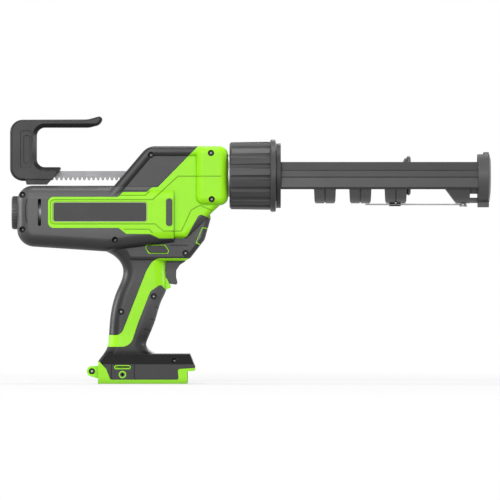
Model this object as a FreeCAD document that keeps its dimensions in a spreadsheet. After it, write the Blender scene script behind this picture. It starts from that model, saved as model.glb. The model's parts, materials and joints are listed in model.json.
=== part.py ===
import FreeCAD, Part
import math
import os
import Sketcher

# Cordless caulking tool. X points forward along the rod, Z up, Y = 0 is the mid-plane.
# The origin is the centre of the battery opening under the foot. Lengths are millimetres.

os.makedirs("parts", exist_ok=True)
doc = FreeCAD.newDocument("caulking_tool")
V = FreeCAD.Vector

SIZES = [
    ("axis_height", 227.0, "rod axis above the base of the foot"),
    ("wall", 3.0, "housing wall"),
    ("skin", 1.4, "overmould thickness"),
    ("play", 0.3, "gap around seated and running pieces"),
    # motor barrel, drops are below the rod axis
    ("barrel_rear", -137.0, "rear face"),
    ("barrel_front", 34.0, "step at the front end"),
    ("barrel_front_drop", 73.0, "underside at the front end"),
    ("barrel_top_drop", 11.1, "flat top"),
    ("barrel_rear_drop", 76.5, "underside at the rear"),
    ("barrel_belly_drop", 83.0, "underside at the grip"),
    ("barrel_belly_x", -40.0, "where the underside is lowest"),
    ("barrel_half_width", 31.0, "half width"),
    ("barrel_corner", 17.0, "corner radius in side view"),
    ("barrel_edge", 14.0, "long edge radius"),
    # tower with the ramp
    ("ramp_foot_x", -39.25, "ramp start inside the barrel"),
    ("ramp_foot_drop", 20.8, "ramp start below the axis"),
    ("ramp_top_x", 5.4, "ramp end"),
    ("ramp_corner", 18.0, "ramp end radius"),
    ("tower_rise", 31.9, "tower top above the axis"),
    ("tower_half_width", 27.6, "half width"),
    ("tower_edge", 6.0, "edge radius"),
    ("tower_corner", 7.0, "corner radius"),
    ("throat_x", 76.0, "under the nose"),
    ("throat_drop", 40.0, "under the nose"),
    ("keel_x", 48.0, "lower front corner"),
    ("keel_drop", 68.0, "lower edge"),
    # rim along the ramp and the top of the tower
    ("rim_half_width", 30.7, "half width"),
    ("rim_width", 10.8, "width in side view"),
    ("rim_edge", 4.5, "edge radius"),
    ("rim_corner", 5.1, "corner radius"),
    ("rim_cover", 2.5, "rim above the tower"),
    # nose block
    ("nose_rear", 57.5, "rear end"),
    ("nose_front", 93.0, "front face"),
    ("nose_drop", 32.3, "lower edge"),
    ("nose_half_width", 33.0, "half width"),
    ("nose_edge", 8.0, "edge radius"),
    ("nose_corner", 9.0, "corner radius"),
    # chin above the trigger
    ("chin_rear", 12.0, "rear end inside the tower"),
    ("chin_half_width", 20.0, "half width"),
    ("chin_edge", 5.0, "edge radius"),
    ("chin_corner", 6.0, "corner radius"),
    ("chin_front", 67.6, "light window face"),
    ("chin_front_drop", 70.0, "light window face"),
    ("chin_lip", 52.0, "lower lip"),
    ("chin_lip_drop", 90.0, "lower lip"),
    ("chin_drop", 93.3, "underside"),
    # grip corner radius
    ("grip_corner", 13.0, "cross section corner radius"),
    # foot
    ("foot_height", 32.3, "top of the foot"),
    ("foot_shoulder", 21.0, "top of the flat side"),
    ("foot_rear", -48.5, "rear face"),
    ("foot_front", 48.9, "front face"),
    ("foot_lip", 57.0, "front lip"),
    ("foot_lip_level", 13.5, "under the front lip"),
    ("foot_half_width", 36.0, "half width"),
    ("foot_top_half", 29.0, "half width at the top"),
    ("foot_corner", 2.0, "corner radius"),
    ("lug_x", -55.6, "rear lug"),
    ("lug_level", 13.2, "rear lug"),
    ("lug_radius", 5.6, "rear lug"),
    ("lug_half_width", 9.0, "rear lug"),
    ("channel_rear", -38.0, "battery channel end wall"),
    ("channel_half_width", 30.5, "battery channel"),
    ("channel_height", 19.5, "battery channel roof"),
    ("rail_depth", 3.5, "battery rail"),
    ("rail_low", 3.0, "battery rail underside"),
    ("rail_high", 6.5, "battery rail top"),
    # label, side bumper, seam lines and the green frames of small openings
    ("label_rear", -97.7, "rear end"),
    ("label_front", 4.8, "front end"),
    ("label_half_height", 10.8, "half height"),
    ("label_lift", 0.7, "middle above the motor axis"),
    ("label_depth", 0.7, "thickness"),
    ("bumper_setback", 1.7, "behind the front step of the barrel"),
    ("bumper_length", 6.4, "length"),
    ("bumper_top_drop", 25.4, "upper end"),
    ("bumper_low_drop", 54.9, "lower end"),
    ("seam_width", 1.0, "seam line"),
    ("seam_depth", 0.7, "seam line"),
    ("frame_line", 1.0, "green frame of an opening"),
    # screws
    ("screw_shank", 1.5, "radius"),
    ("screw_head", 3.1, "radius"),
    ("screw_head_height", 2.6, "head"),
    ("screw_grip", 8.0, "thread in the far boss"),
    ("boss_radius", 4.4, "screw boss"),
    # rod
    ("rod_rear", -128.0, "rear end in the pull handle"),
    ("rod_front", 288.2, "front end at the piston"),
    ("rod_height", 10.0, "rack height"),
    ("rod_width", 8.0, "rack width"),
    ("rack_module", 1.6, "tooth module"),
    ("rack_addendum", 1.1, "tooth tip above the pitch line"),
    ("rack_dedendum", 2.0, "tooth root below the pitch line"),
    ("rack_rear_teeth", 27, "teeth behind the pinion"),
    ("rack_front_teeth", 33, "teeth ahead of the pinion"),
    ("piston_radius", 21.5, "plate"),
    ("piston_thickness", 4.4, "plate"),
    ("cone_length", 7.0, "backing cone"),
    ("cone_radius", 19.2, "backing cone at the plate"),
    ("cone_hub", 8.5, "backing cone at the rod"),
    # pull handle
    ("pull_half_width", 14.0, "half width"),
    ("pull_rear", -145.0, "outer side"),
    ("pull_inner", -116.0, "inner side"),
    ("pull_top", 61.0, "top arm above the axis"),
    ("pull_arm", 9.0, "top arm thickness"),
    ("pull_tip_x", -44.2, "tip of the top arm"),
    ("pull_tip_rise", 3.6, "tip above the top arm"),
    ("pull_tongue_x", -89.3, "front of the tongue"),
    ("pull_tongue_rise", 9.2, "tongue top above the axis"),
    ("pull_foot_x", -105.0, "underside front"),
    ("pull_drop", 9.8, "underside below the axis"),
    ("pull_corner", 14.0, "outer corner radius"),
    ("pull_inner_corner", 9.0, "inner corner radius"),
    ("pull_edge", 3.0, "side edge radius"),
    ("pull_recess", 0.8, "step of the side recess"),
    ("pull_bevel", 4.4, "bevel round the finger opening"),
    ("pull_block_half", 10.0, "half width of the block under the rod"),
    ("pull_block_drop", 3.8, "top of the block below the axis"),
    ("pin_radius", 2.0, "cross pin"),
    # gear train
    ("gear_x", 34.0, "cross shafts"),
    ("pinion_teeth", 12, "rack pinion"),
    ("pinion_width", 9.0, "rack pinion"),
    ("spur_module", 1.5, "second stage"),
    ("spur_pinion_teeth", 12, "second stage"),
    ("output_teeth", 24, "second stage"),
    ("spur_width", 7.0, "second stage"),
    ("spur_offset", -9.5, "middle of the second stage across the tool"),
    ("bevel_module", 1.5, "bevel pair"),
    ("bevel_pinion_teeth", 12, "bevel pair"),
    ("bevel_gear_teeth", 24, "bevel pair"),
    ("bevel_face", 0.3, "tooth length as a part of the cone"),
    ("planet_module", 0.8, "planetary stage"),
    ("sun_teeth", 12, "planetary stage"),
    ("planet_teeth", 18, "planetary stage"),
    ("tooth_tip", 0.8, "addendum in modules"),
    ("tooth_root", 1.15, "dedendum in modules"),
    ("backlash", 0.2, "tooth thinning"),
    ("shaft_radius", 4.0, "cross shafts and carrier shaft"),
    ("bush_wall", 1.6, "shaft bush"),
    ("frame_half_length", 25.0, "gear frame"),
    ("frame_half_width", 21.0, "gear frame"),
    ("frame_rise", 9.0, "gear frame above the axis"),
    ("frame_drop", 50.0, "gear frame below the axis"),
    ("frame_wall", 3.0, "gear frame"),
    ("bearing_radius", 8.0, "output bearing"),
    ("bearing_width", 7.0, "output bearing"),
    # motor and gearbox
    ("motor_rear", -119.0, "motor can"),
    ("motor_length", 55.0, "motor can"),
    ("motor_radius", 18.0, "motor can"),
    ("motor_can_wall", 1.6, "motor can"),
    ("bell_thickness", 4.0, "motor end bell"),
    ("rotor_radius", 12.0, "armature"),
    ("rotor_length", 34.0, "armature"),
    ("rotor_shaft", 1.6, "motor shaft radius"),
    ("gearbox_length", 56.0, "ring gear case"),
    ("gearbox_radius", 22.0, "ring gear case"),
    ("gearbox_front", 4.0, "ring gear case front wall"),
    ("planet_width", 10.0, "planetary stage"),
    ("planet_pin", 2.0, "carrier pins"),
    ("carrier_radius", 16.0, "carrier disc"),
    ("carrier_width", 5.0, "carrier disc"),
    # guides, dial, switch, boards
    ("guide_length", 10.0, "rack guides"),
    ("guide_half_width", 8.0, "rack guides"),
    ("guide_half_height", 9.0, "rack guides"),
    ("rear_guide_x", -4.0, "rear rack guide"),
    ("dial_radius", 18.2, "speed dial"),
    ("dial_width", 8.2, "speed dial"),
    ("dial_sink", 2.3, "dial recess in the housing"),
    ("dial_ridges", 30, "speed dial"),
    ("dial_ridge_radius", 0.9, "speed dial"),
    ("dial_stem", 3.0, "speed dial stem radius"),
    ("pot_radius", 8.0, "potentiometer"),
    ("pot_length", 6.0, "potentiometer"),
    ("switch_rear", -14.0, "trigger switch"),
    ("switch_front", 13.0, "trigger switch"),
    ("switch_half_width", 11.0, "trigger switch"),
    ("switch_top_drop", 97.0, "trigger switch"),
    ("switch_height", 26.0, "trigger switch"),
    ("trigger_half_width", 8.0, "trigger"),
    ("trigger_travel", 7.0, "trigger"),
    ("stem_radius", 3.0, "trigger stem"),
    ("button_half_length", 21.6, "lock button"),
    ("button_flange", 1.5, "stop flange of the lock button"),
    ("button_flange_half", 13.5, "stop flange of the lock button"),
    ("board_thickness", 1.6, "boards"),
    ("terminal_length", 26.0, "terminal block"),
    ("terminal_half_width", 19.0, "terminal block"),
    ("terminal_height", 12.0, "terminal block"),
    ("blade_pitch", 8.0, "terminal blades"),
    ("hook_x", -21.8, "belt hook thread"),
    ("hook_level", 10.0, "belt hook thread"),
    ("insert_radius", 2.7, "belt hook thread"),
    ("insert_bore", 1.65, "belt hook thread"),
    ("insert_length", 5.0, "belt hook thread"),
    # nose spigot and lock ring
    ("flange_radius", 27.0, "spigot flange inside the nose"),
    ("flange_chamfer", 3.0, "spigot flange inside the nose"),
    ("flange_thickness", 5.7, "spigot flange inside the nose"),
    ("spigot_radius", 23.0, "spigot"),
    ("ring_rear", 94.7, "lock ring rear face"),
    ("ring_length", 50.7, "lock ring"),
    ("ring_radius", 37.3, "lock ring body"),
    ("ring_rim_radius", 39.6, "lock ring front rim"),
    ("ring_rim_length", 5.8, "lock ring front rim"),
    ("ring_back_wall", 17.0, "lock ring rear bore"),
    ("ring_lip", 7.4, "lock ring front lip"),
    ("ring_flutes", 18, "lock ring"),
    ("ring_flute_radius", 3.6, "lock ring"),
    ("ring_flute_depth", 2.0, "lock ring"),
    ("ring_flute_turn", 5.8, "first flute past the top, degrees"),
    # carriage
    ("hub_flange_radius", 31.0, "carriage hub in the lock ring"),
    ("hub_radius", 28.0, "carriage hub"),
    ("hub_bore", 23.4, "carriage hub"),
    ("collar_radius", 35.4, "carriage rear flange"),
    ("collar_length", 5.0, "carriage rear flange"),
    ("rail_inner", 25.8, "carriage rails"),
    ("rail_face", 29.0, "middle face of the carriage rails"),
    ("rail_outer", 30.2, "lower edge of the carriage rails"),
    ("rail_half_height", 14.7, "carriage rails"),
    ("rail_line", 0.9, "lines along the rails"),
    ("rail_line_depth", 1.0, "lines along the rails"),
    ("carriage_front", 366.0, "carriage rails"),
    ("band_first", 199.0, "first band"),
    ("band_pitch", 38.7, "bands"),
    ("band_length", 24.0, "bands"),
    ("band_groove", 1.6, "bands"),
    ("band_taper", 1.2, "bands"),
    ("band_drop", 30.4, "bands"),
    ("band_wall", 3.2, "bands"),
    ("bracket_rear", 331.0, "front bracket"),
    ("bracket_front", 357.0, "front bracket"),
    ("bracket_slope", 12.0, "front bracket"),
    ("bridge_radius", 28.6, "thin wall ahead of the bracket"),
    ("bridge_drop", 19.8, "lower edge of the thin wall"),
    ("bar_drop", 24.2, "upper edge of the bar below it"),
    # front cap
    ("cap_length", 14.0, "front cap"),
    ("cap_radius", 32.0, "front cap"),
    ("cap_bore", 25.8, "front cap"),
    ("cap_front_wall", 4.6, "front cap"),
    ("cap_step", 6.4, "lower rear part of the front cap"),
    ("cap_step_rise", 23.2, "lower rear part of the front cap"),
    ("cap_mouth_half", 19.3, "opening at the top"),
    ("nozzle_half", 11.0, "nozzle slot"),
    ("cap_chin_drop", 34.6, "lip under the cap"),
    ("cap_chin_half", 14.0, "lip under the cap"),
    # puncture wire
    ("rivet_x", 350.2, "wire pivot"),
    ("rivet_radius", 2.0, "wire pivot"),
    ("rivet_head", 4.2, "wire pivot"),
    ("rivet_head_height", 1.3, "wire pivot"),
    ("wire_radius", 0.8, "puncture wire"),
    ("wire_length", 107.0, "puncture wire"),
    ("wire_eye", 3.6, "puncture wire"),
    ("clip_x", 269.4, "wire clip"),
    ("clip_length", 12.5, "wire clip"),
    ("clip_half_width", 4.0, "wire clip"),
    ("clip_lip", 0.8, "wire clip"),
]

dims = doc.addObject("Spreadsheet::Sheet", "dims")


def store(alias, value, note):
    row = store.row
    dims.set(f"A{row}", alias)
    dims.set(f"B{row}", str(value))
    dims.set(f"C{row}", note)
    dims.setAlias(f"B{row}", alias)
    store.row = row + 1


store.row = 1
for alias, value, note in SIZES:
    store(alias, value, note)

# Grip cross sections from the barrel down to the foot: level between the foot top (0) and
# the underside of the chin (1), rear, front, half width.
GRIP = [
    ("crown", 1.171, -54.0, 26.0, 19.0),
    ("shoulder", 1.072, -34.0, 26.0, 18.5),
    ("web", 0.963, -23.2, 25.5, 17.5),
    ("index", 0.806, -22.8, 26.0, 17.5),
    ("rest", 0.687, -27.9, 25.5, 17.5),
    ("middle", 0.579, -31.8, 20.6, 17.5),
    ("palm", 0.362, -35.9, 13.5, 17.5),
    ("heel", 0.155, -37.4, 5.1, 18.0),
    ("flare", 0.03, -40.8, 9.0, 20.5),
    ("sole", -0.1, -47.5, 26.0, 29.0),
]
for station, level, rear, front, half in GRIP:
    store(f"grip_{station}_level", level, "grip section")
    store(f"grip_{station}_rear", rear, "grip section")
    store(f"grip_{station}_front", front, "grip section")
    store(f"grip_{station}_half", half, "grip section")

# Screws through both halves: place, height above the axis (the foot screw above the base),
# depth of the head seat from the mid-plane.
SCREWS = [
    ("barrel_upper", -131.0, -21.0, 12.0),
    ("barrel_lower", -131.0, -59.0, 12.0),
    ("belly", -30.0, -70.3, 16.0),
    ("ramp", 9.2, 22.3, 20.0),
    ("nose_upper", 74.6, 24.4, 26.0),
    ("nose_lower", 75.4, -26.0, 26.0),
    ("chin", 46.8, -84.8, 13.0),
    ("grip_upper", 12.0, -132.0, 10.0),
    ("grip_lower", -23.5, -148.8, 10.0),
    ("foot", 34.8, 25.0, 20.0),
    ("lug", None, None, 5.0),
]
for screw, x, z, seat in SCREWS:
    if screw == "lug":
        store("screw_lug_seat", seat, "housing screw head seat")
        continue
    store(f"screw_{screw}_x", x, "housing screw")
    store(f"screw_{screw}_z", z, "housing screw")
    store(f"screw_{screw}_seat", seat, "housing screw head seat")
doc.recompute()


def size(expression):
    return float(dims.evalExpression(expression))


# Sizes read once for the shapes made by direct geometry.
axis = size("axis_height")
play = size("play")
pinion_pitch_radius = size("rack_module * pinion_teeth / 2")
PINION_DROP = "(rod_height / 2 - rack_addendum + rack_module * pinion_teeth / 2)"
MOTOR_DROP = f"({PINION_DROP} + spur_module * (spur_pinion_teeth + output_teeth) / 2)"
pinion_z = axis - size(PINION_DROP)
motor_z = axis - size(MOTOR_DROP)
gear_x = size("gear_x")

pieces = {}


def bound(expression):
    """Expression text with every sheet name written as dims.name."""
    words = []
    word = ""
    for letter in expression + " ":
        if letter.isalnum() or letter == "_":
            word += letter
            continue
        if word and not word[0].isdigit() and not word.replace("_", "").isdigit():
            word = "dims." + word
        words.append(word + letter)
        word = ""
    return "".join(words).strip()


def keep(label, item):
    item.Label = label
    pieces[label] = item
    return item


def solid_feature(label, shape):
    item = doc.addObject("Part::Feature", label)
    item.Shape = shape
    return item


def box(name, low, high):
    """Part box between two corners given as expressions."""
    item = doc.addObject("Part::Box", name)
    for side, axis_name, start, end in zip(("Length", "Width", "Height"), "xyz", low, high):
        item.setExpression(side, bound(f"({end}) - ({start})"))
        item.setExpression(f".Placement.Base.{axis_name}", bound(start))
    return item


TURNS = {
    "x": FreeCAD.Rotation(V(0, 1, 0), 90),
    "y": FreeCAD.Rotation(V(1, 0, 0), -90),
    "z": FreeCAD.Rotation(),
}


def cylinder(name, direction, start, radius, length):
    """Part cylinder along an axis from a start point given as expressions."""
    item = doc.addObject("Part::Cylinder", name)
    item.Placement = FreeCAD.Placement(V(), TURNS[direction])
    item.setExpression("Radius", bound(radius))
    item.setExpression("Height", bound(length))
    for axis_name, place in zip("xyz", start):
        item.setExpression(f".Placement.Base.{axis_name}", bound(place))
    return item


def cut(name, base, tool):
    item = doc.addObject("Part::Cut", name)
    item.Base = base
    item.Tool = tool
    return item


def fuse(name, items):
    item = doc.addObject("Part::MultiFuse", name)
    item.Shapes = items
    return item


def common(name, items):
    item = doc.addObject("Part::MultiCommon", name)
    item.Shapes = items
    return item


def group(name, items):
    item = doc.addObject("Part::Compound", name)
    item.Links = items
    return item


def new_body(name):
    return doc.addObject("PartDesign::Body", name)


def new_sketch(body, role, up="0", out="0"):
    """Sketch on an origin plane, raised by up in the plane and moved by out along its normal."""
    plane = next(item for item in body.Origin.OriginFeatures if item.Role == role)
    sketch = body.newObject("Sketcher::SketchObject", body.Name + "_sketch")
    sketch.AttachmentSupport = [(plane, "")]
    sketch.MapMode = "FlatFace"
    sketch.setExpression(".AttachmentOffset.Base.y", bound(up))
    sketch.setExpression(".AttachmentOffset.Base.z", bound(out))
    return sketch


def hold(sketch, kind, first, expression):
    number = sketch.addConstraint(Sketcher.Constraint(kind, *first, size(expression)))
    sketch.setExpression(f"Constraints[{number}]", bound(expression))


def polygon(sketch, corners):
    """Closed polygon whose corners are pairs of expressions."""
    places = [V(size(x), size(y), 0) for x, y in corners]
    count = len(corners)
    first = sketch.GeometryCount
    for number in range(count):
        sketch.addGeometry(Part.LineSegment(places[number], places[(number + 1) % count]))
    for number in range(count):
        after = first + (number + 1) % count
        sketch.addConstraint(Sketcher.Constraint("Coincident", first + number, 2, after, 1))
    for number, (x, y) in enumerate(corners):
        hold(sketch, "DistanceX", (-1, 1, first + number, 1), x)
        hold(sketch, "DistanceY", (-1, 1, first + number, 1), y)


def circle(sketch, x, y, radius):
    number = sketch.addGeometry(Part.Circle(V(size(x), size(y), 0), V(0, 0, 1), size(radius)))
    hold(sketch, "DistanceX", (-1, 1, number, 3), x)
    hold(sketch, "DistanceY", (-1, 1, number, 3), y)
    hold(sketch, "Radius", (number,), radius)


def turned(name, corners, height):
    """Body of revolution about an X axis at a height; corners are along the axis and radius."""
    body = new_body(name)
    sketch = new_sketch(body, "XZ_Plane", up=height)
    polygon(sketch, corners)
    doc.recompute()
    turn = body.newObject("PartDesign::Revolution", name + "_turn")
    turn.Profile = sketch
    turn.ReferenceAxis = (sketch, ["H_Axis"])
    turn.Angle = 360
    doc.recompute()
    return body


def padded(name, role, corners, length, up="0", out="0", middle=True):
    """Body with one outline padded by a length, about the sketch plane when middle is true."""
    body = new_body(name)
    sketch = new_sketch(body, role, up, out)
    polygon(sketch, corners)
    doc.recompute()
    pad = body.newObject("PartDesign::Pad", name + "_pad")
    pad.Profile = sketch
    pad.setExpression("Length", bound(length))
    pad.Midplane = middle
    doc.recompute()
    return body


def pocketed(body, sketch, name):
    before = body.Shape.Volume
    pocket = body.newObject("PartDesign::Pocket", name)
    pocket.Profile = sketch
    pocket.Type = "ThroughAll"
    pocket.Midplane = True
    doc.recompute()
    if not pocket.Shape.Volume < before - 1e-3:
        raise RuntimeError(name + " cuts nothing")
    return pocket


def patterned(body, feature, sketch, count, name):
    item = body.newObject("PartDesign::PolarPattern", name)
    item.Originals = [feature]
    item.Axis = (sketch, ["N_Axis"])
    item.Angle = 360
    item.setExpression("Occurrences", bound(count))
    body.Tip = item
    doc.recompute()
    return item


# Direct geometry for the shells

def rounded_wire(corners):
    """Closed wire in the XZ plane with a tangent arc at each corner (x, z, radius)."""
    edges = []
    places = [V(x, 0, z) for x, z, radius in corners]
    starts = []
    ends = []
    middles = []
    for number, (x, z, radius) in enumerate(corners):
        here = places[number]
        back = (places[number - 1] - here).normalize()
        ahead = (places[(number + 1) % len(places)] - here).normalize()
        half = back.getAngle(ahead) / 2
        reach = radius / math.tan(half)
        starts.append(here + back * reach)
        ends.append(here + ahead * reach)
        inward = (back + ahead).normalize()
        middles.append(here + inward * (radius / math.sin(half) - radius))
    for number, (x, z, radius) in enumerate(corners):
        if radius > 0:
            arc = Part.Arc(starts[number], middles[number], ends[number])
            edges.append(arc.toShape())
        after = starts[(number + 1) % len(corners)]
        if (after - ends[number]).Length > 1e-6:
            edges.append(Part.makeLine(ends[number], after))
    return Part.Wire(edges)


def prism(corners, low, high):
    """Outline in the XZ plane swept across the tool from y = low to y = high."""
    face = Part.Face(rounded_wire(corners))
    face.translate(V(0, low, 0))
    return face.extrude(V(0, high - low, 0))


def slab(corners, half_width, edge_radius, inset):
    """Prism about the mid-plane with rounded side edges, shrunk by inset on all sides."""
    face = Part.Face(rounded_wire(corners))
    if inset > 0:
        face = face.makeOffset2D(-inset)
    half = half_width - inset
    face.translate(V(0, -half, 0))
    solid = face.extrude(V(0, 2 * half, 0))
    radius = edge_radius - inset
    if radius < 0.4:
        return solid
    rims = []
    for edge in solid.Edges:
        limits = edge.BoundBox
        if limits.YLength < 1e-6 and abs(abs(limits.YMin) - half) < 1e-6:
            rims.append(edge)
    return solid.makeFillet(radius, rims)


def grip_wire(level, rear, front, half, corner):
    """Rounded rectangle at a height, always started on the same corner."""
    length = front - rear
    corner = min(corner, 0.96 * half, 0.48 * length)
    right = half - corner
    points = [
        (rear + corner, -half), (front - corner, -half), (front, -right), (front, right),
        (front - corner, half), (rear + corner, half), (rear, right), (rear, -right),
    ]
    slant = corner * (1 - math.sqrt(0.5))
    bends = [
        (front - slant, -half + slant), (front - slant, half - slant),
        (rear + slant, half - slant), (rear + slant, -half + slant),
    ]
    places = [V(x, y, level) for x, y in points]
    edges = []
    for number in range(4):
        first = places[2 * number]
        second = places[2 * number + 1]
        third = places[(2 * number + 2) % 8]
        edges.append(Part.makeLine(first, second))
        edges.append(Part.Arc(second, V(*bends[number], level), third).toShape())
    return Part.Wire(edges)


def grip_solid(inset):
    wires = []
    top = axis - size("chin_drop")
    base = size("foot_height")
    for station, *unused in GRIP:
        level = base + size(f"grip_{station}_level") * (top - base)
        rear = size(f"grip_{station}_rear") + inset
        front = size(f"grip_{station}_front") - inset
        half = size(f"grip_{station}_half") - inset
        wires.append(grip_wire(level, rear, front, half, size("grip_corner") - inset))
    return Part.makeLoft(wires, True, False)


def barrel_outline():
    """Side view of the barrel, drawn past its front step."""
    rear = size("barrel_rear")
    corner = size("barrel_corner")
    belly = size("barrel_belly_x")
    low = axis - size("barrel_belly_drop")
    top = axis - size("barrel_top_drop")
    past = size("barrel_front") + 2 * corner
    climb = size("(barrel_belly_drop - barrel_front_drop) / (barrel_front - barrel_belly_x)")
    return [
        (rear, top, corner),
        (past, top, corner),
        (past, low + climb * (past - belly), corner),
        (belly, low, corner),
        (rear, axis - size("barrel_rear_drop"), corner + 2),
    ]


def barrel_solid(inset):
    solid = slab(barrel_outline(), size("barrel_half_width"), size("barrel_edge"), inset)
    return solid.cut(Part.makeBox(300, 400, 800, V(size("barrel_front") - inset, -200, -100)))


def tower_outline():
    corner = size("tower_corner")
    cover = size("rim_cover")
    top = axis + size("tower_rise") - cover
    front = size("nose_front") - cover
    keel = axis - size("keel_drop")
    return [
        (size("ramp_foot_x") + 2 * cover, axis - size("ramp_foot_drop"), corner),
        (size("ramp_top_x") + cover, top, size("ramp_corner") - cover),
        (front, top, corner),
        (front, axis - size("nose_drop - tower_edge"), corner),
        (size("throat_x"), axis - size("throat_drop"), corner),
        (size("keel_x"), keel, corner),
        (size("ramp_foot_x"), keel, corner),
    ]


def rim_outline():
    """Band of even width up the ramp and along the top, with both ends buried."""
    corner = size("rim_corner")
    width = size("rim_width")
    foot = V(size("ramp_foot_x"), 0, axis - size("ramp_foot_drop"))
    top = V(size("ramp_top_x"), 0, axis + size("tower_rise"))
    along = (top - foot).normalize()
    inward = V(along.z, 0, -along.x)
    start = foot - along * 12
    inner_start = start + inward * width
    level = top.z - width
    bend = inner_start + along * ((level - inner_start.z) / along.z)
    end = size("nose_rear") + 20
    return [
        (start.x, start.z, corner),
        (top.x, top.z, size("ramp_corner")),
        (end, top.z, corner),
        (end, level, corner),
        (bend.x, level, size("ramp_corner") / 2),
        (inner_start.x, inner_start.z, corner),
    ]


def nose_outline():
    corner = size("nose_corner")
    top = axis + size("tower_rise")
    low = axis - size("nose_drop")
    return [
        (size("nose_rear"), top, corner),
        (size("nose_front"), top, corner),
        (size("nose_front"), low, corner),
        (size("nose_rear"), low, corner),
    ]


def chin_outline():
    corner = size("chin_corner")
    low = axis - size("chin_drop")
    return [
        (size("chin_rear"), axis - size("throat_drop"), corner),
        (size("throat_x"), axis - size("throat_drop"), corner),
        (size("chin_front"), axis - size("chin_front_drop"), corner),
        (size("chin_lip"), axis - size("chin_lip_drop"), corner),
        (size("chin_lip") - 6, low, 0.5),
        (size("grip_web_rear") + 8, low, corner),
        (size("ramp_foot_x") + 10, axis - size("keel_drop"), corner),
    ]


def finger_rest():
    front = size("grip_index_front")
    base = axis - size("chin_drop")
    corners = [
        (front - 8, base - 14, 1.0),
        (front + 0.2, base - 19, 0.8),
        (front + 5, base - 28.7, 1.2),
        (front - 0.5, base - 31.5, 1.0),
        (front - 8, base - 27, 1.0),
    ]
    return slab(corners, size("trigger_half_width") + 1.6, 0, 0)


def foot_solid(inset):
    corner = size("foot_corner")
    top = size("foot_height")
    shoulder = size("foot_shoulder")
    lip = size("foot_lip")
    level = size("foot_lip_level")
    corners = [
        (size("foot_rear"), 0, 0),
        (size("foot_front"), 0, 0),
        (size("foot_front"), level, 0.5),
        (lip, level + 0.6, 0.5),
        (lip, level + 5, corner),
        (lip - 5.5, top, 0.5),
        (size("foot_rear") + 9, top, corner),
        (size("foot_rear"), shoulder, corner),
    ]
    solid = slab(corners, size("foot_half_width"), 0, inset)
    if inset > 0:
        below = Part.makeBox(400, 400, inset + 1, V(-200, -200, -1))
        solid = solid.fuse(Part.makeBox(
            size("foot_front") - size("foot_rear") - 2 * inset,
            2 * (size("foot_half_width") - inset), inset,
            V(size("foot_rear") + inset, inset - size("foot_half_width"), 0)).common(below))
    half = size("foot_half_width") - 0.7 * inset
    rise = top - shoulder
    run = size("foot_half_width") - size("foot_top_half")
    for side in (-1, 1):
        slope = [
            V(-90, side * half, shoulder - 0.7 * inset),
            V(-90, side * (half - 2 * run), shoulder - 0.7 * inset + 2 * rise),
            V(-90, side * (half + 2 * run), shoulder - 0.7 * inset + 2 * rise),
            V(-90, side * (half + 2 * run), shoulder - 0.7 * inset),
        ]
        wedge = Part.Face(Part.makePolygon(slope + slope[:1])).extrude(V(180, 0, 0))
        solid = solid.cut(wedge)
    return solid


def envelope(inset, foot=True, rim=True):
    solids = [
        barrel_solid(inset),
        slab(tower_outline(), size("tower_half_width"), size("tower_edge"), inset),
        slab(nose_outline(), size("nose_half_width"), size("nose_edge"), inset),
        slab(chin_outline(), size("chin_half_width"), size("chin_edge"), inset),
        grip_solid(inset),
    ]
    if rim:
        solids.append(slab(rim_outline(), size("rim_half_width"), size("rim_edge"), inset))
    if foot:
        solids.append(foot_solid(inset))
    return solids[0].fuse(solids[1:])


def near_half(shape):
    return shape.common(Part.makeBox(900, 200, 900, V(-400, -200, -200)))


# Green areas of the housing in side view, z measured from the rod axis unless noted.
def green_prisms():
    rear = size("barrel_rear")
    nose = size("nose_front")
    rise = size("tower_rise")
    panel = [
        (rear + 34, -23.4, 6), (-26.8, -23.4, 2), (-21.4, -18, 3), (4.4, -18, 2),
        (10.2, -13, 3), (16.8, -12.6, 3), (nose - 32.3, rise + 0.2, 0), (nose + 9, rise + 9, 0),
        (nose + 9, -40, 0), (76.5, -39.6, 0), (74, -47, 0), (62, -41.8, 4), (48.3, -66.8, 4),
        (44, -68.7, 3), (18.2, -68.7, 3), (8.1, -64, 3), (-18, -63.7, 3), (-25.8, -57.3, 2),
        (rear + 34, -57.3, 6),
    ]
    stripe = [
        (12.5, -90.4, 13), (70, -90.4, 0), (70, -94.5, 0), (60, -130, 0), (25, -124.6, 0),
        (19.5, -118.8, 3), (8.5, -126.4, 7), (-5.5, -162, 30), (-13.5, -187, 13),
        (-60, -187, 0), (-60, -174.2, 0), (-23.5, -174.2, 9), (-14, -150, 24), (4, -104, 14),
    ]
    foot_rear = size("foot_rear")
    foot_front = size("foot_front")
    base = [
        (foot_rear - 30, 24, 0), (foot_rear + 1.5, 24, 2), (foot_rear + 9, 16, 3),
        (foot_rear + 13.5, 4.4, 2), (foot_front - 9.5, 4.4, 2), (foot_front - 10.5, 16, 2),
        (foot_front + 20, 18, 0), (foot_front + 20, -5, 0), (foot_rear - 30, -5, 0),
    ]
    raised = []
    for outline in (panel, stripe):
        raised.append(prism([(x, axis + z, radius) for x, z, radius in outline], -90, 90))
    raised.append(prism(base, -90, 90))
    line = size("frame_line")
    raised.append(window_prism(line))
    raised.append(prism(button_outline(play + line), -90, 90))
    raised.append(prism(hook_slot(line), -90, 90))
    ring = size("insert_radius") + 1.4 * line
    raised.append(across(size("hook_x"), size("hook_level"), ring, -90, 180))
    return raised


def window_prism(grow):
    corners = [
        (65.5 - grow / 2, -57.3 + grow), (74 + grow, -59.6 + grow), (67.5 + grow, -78 - grow),
        (58.6 - grow, -72.7 - grow),
    ]
    return prism([(x, axis + z, 1.4) for x, z in corners], -90, 90)


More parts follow.
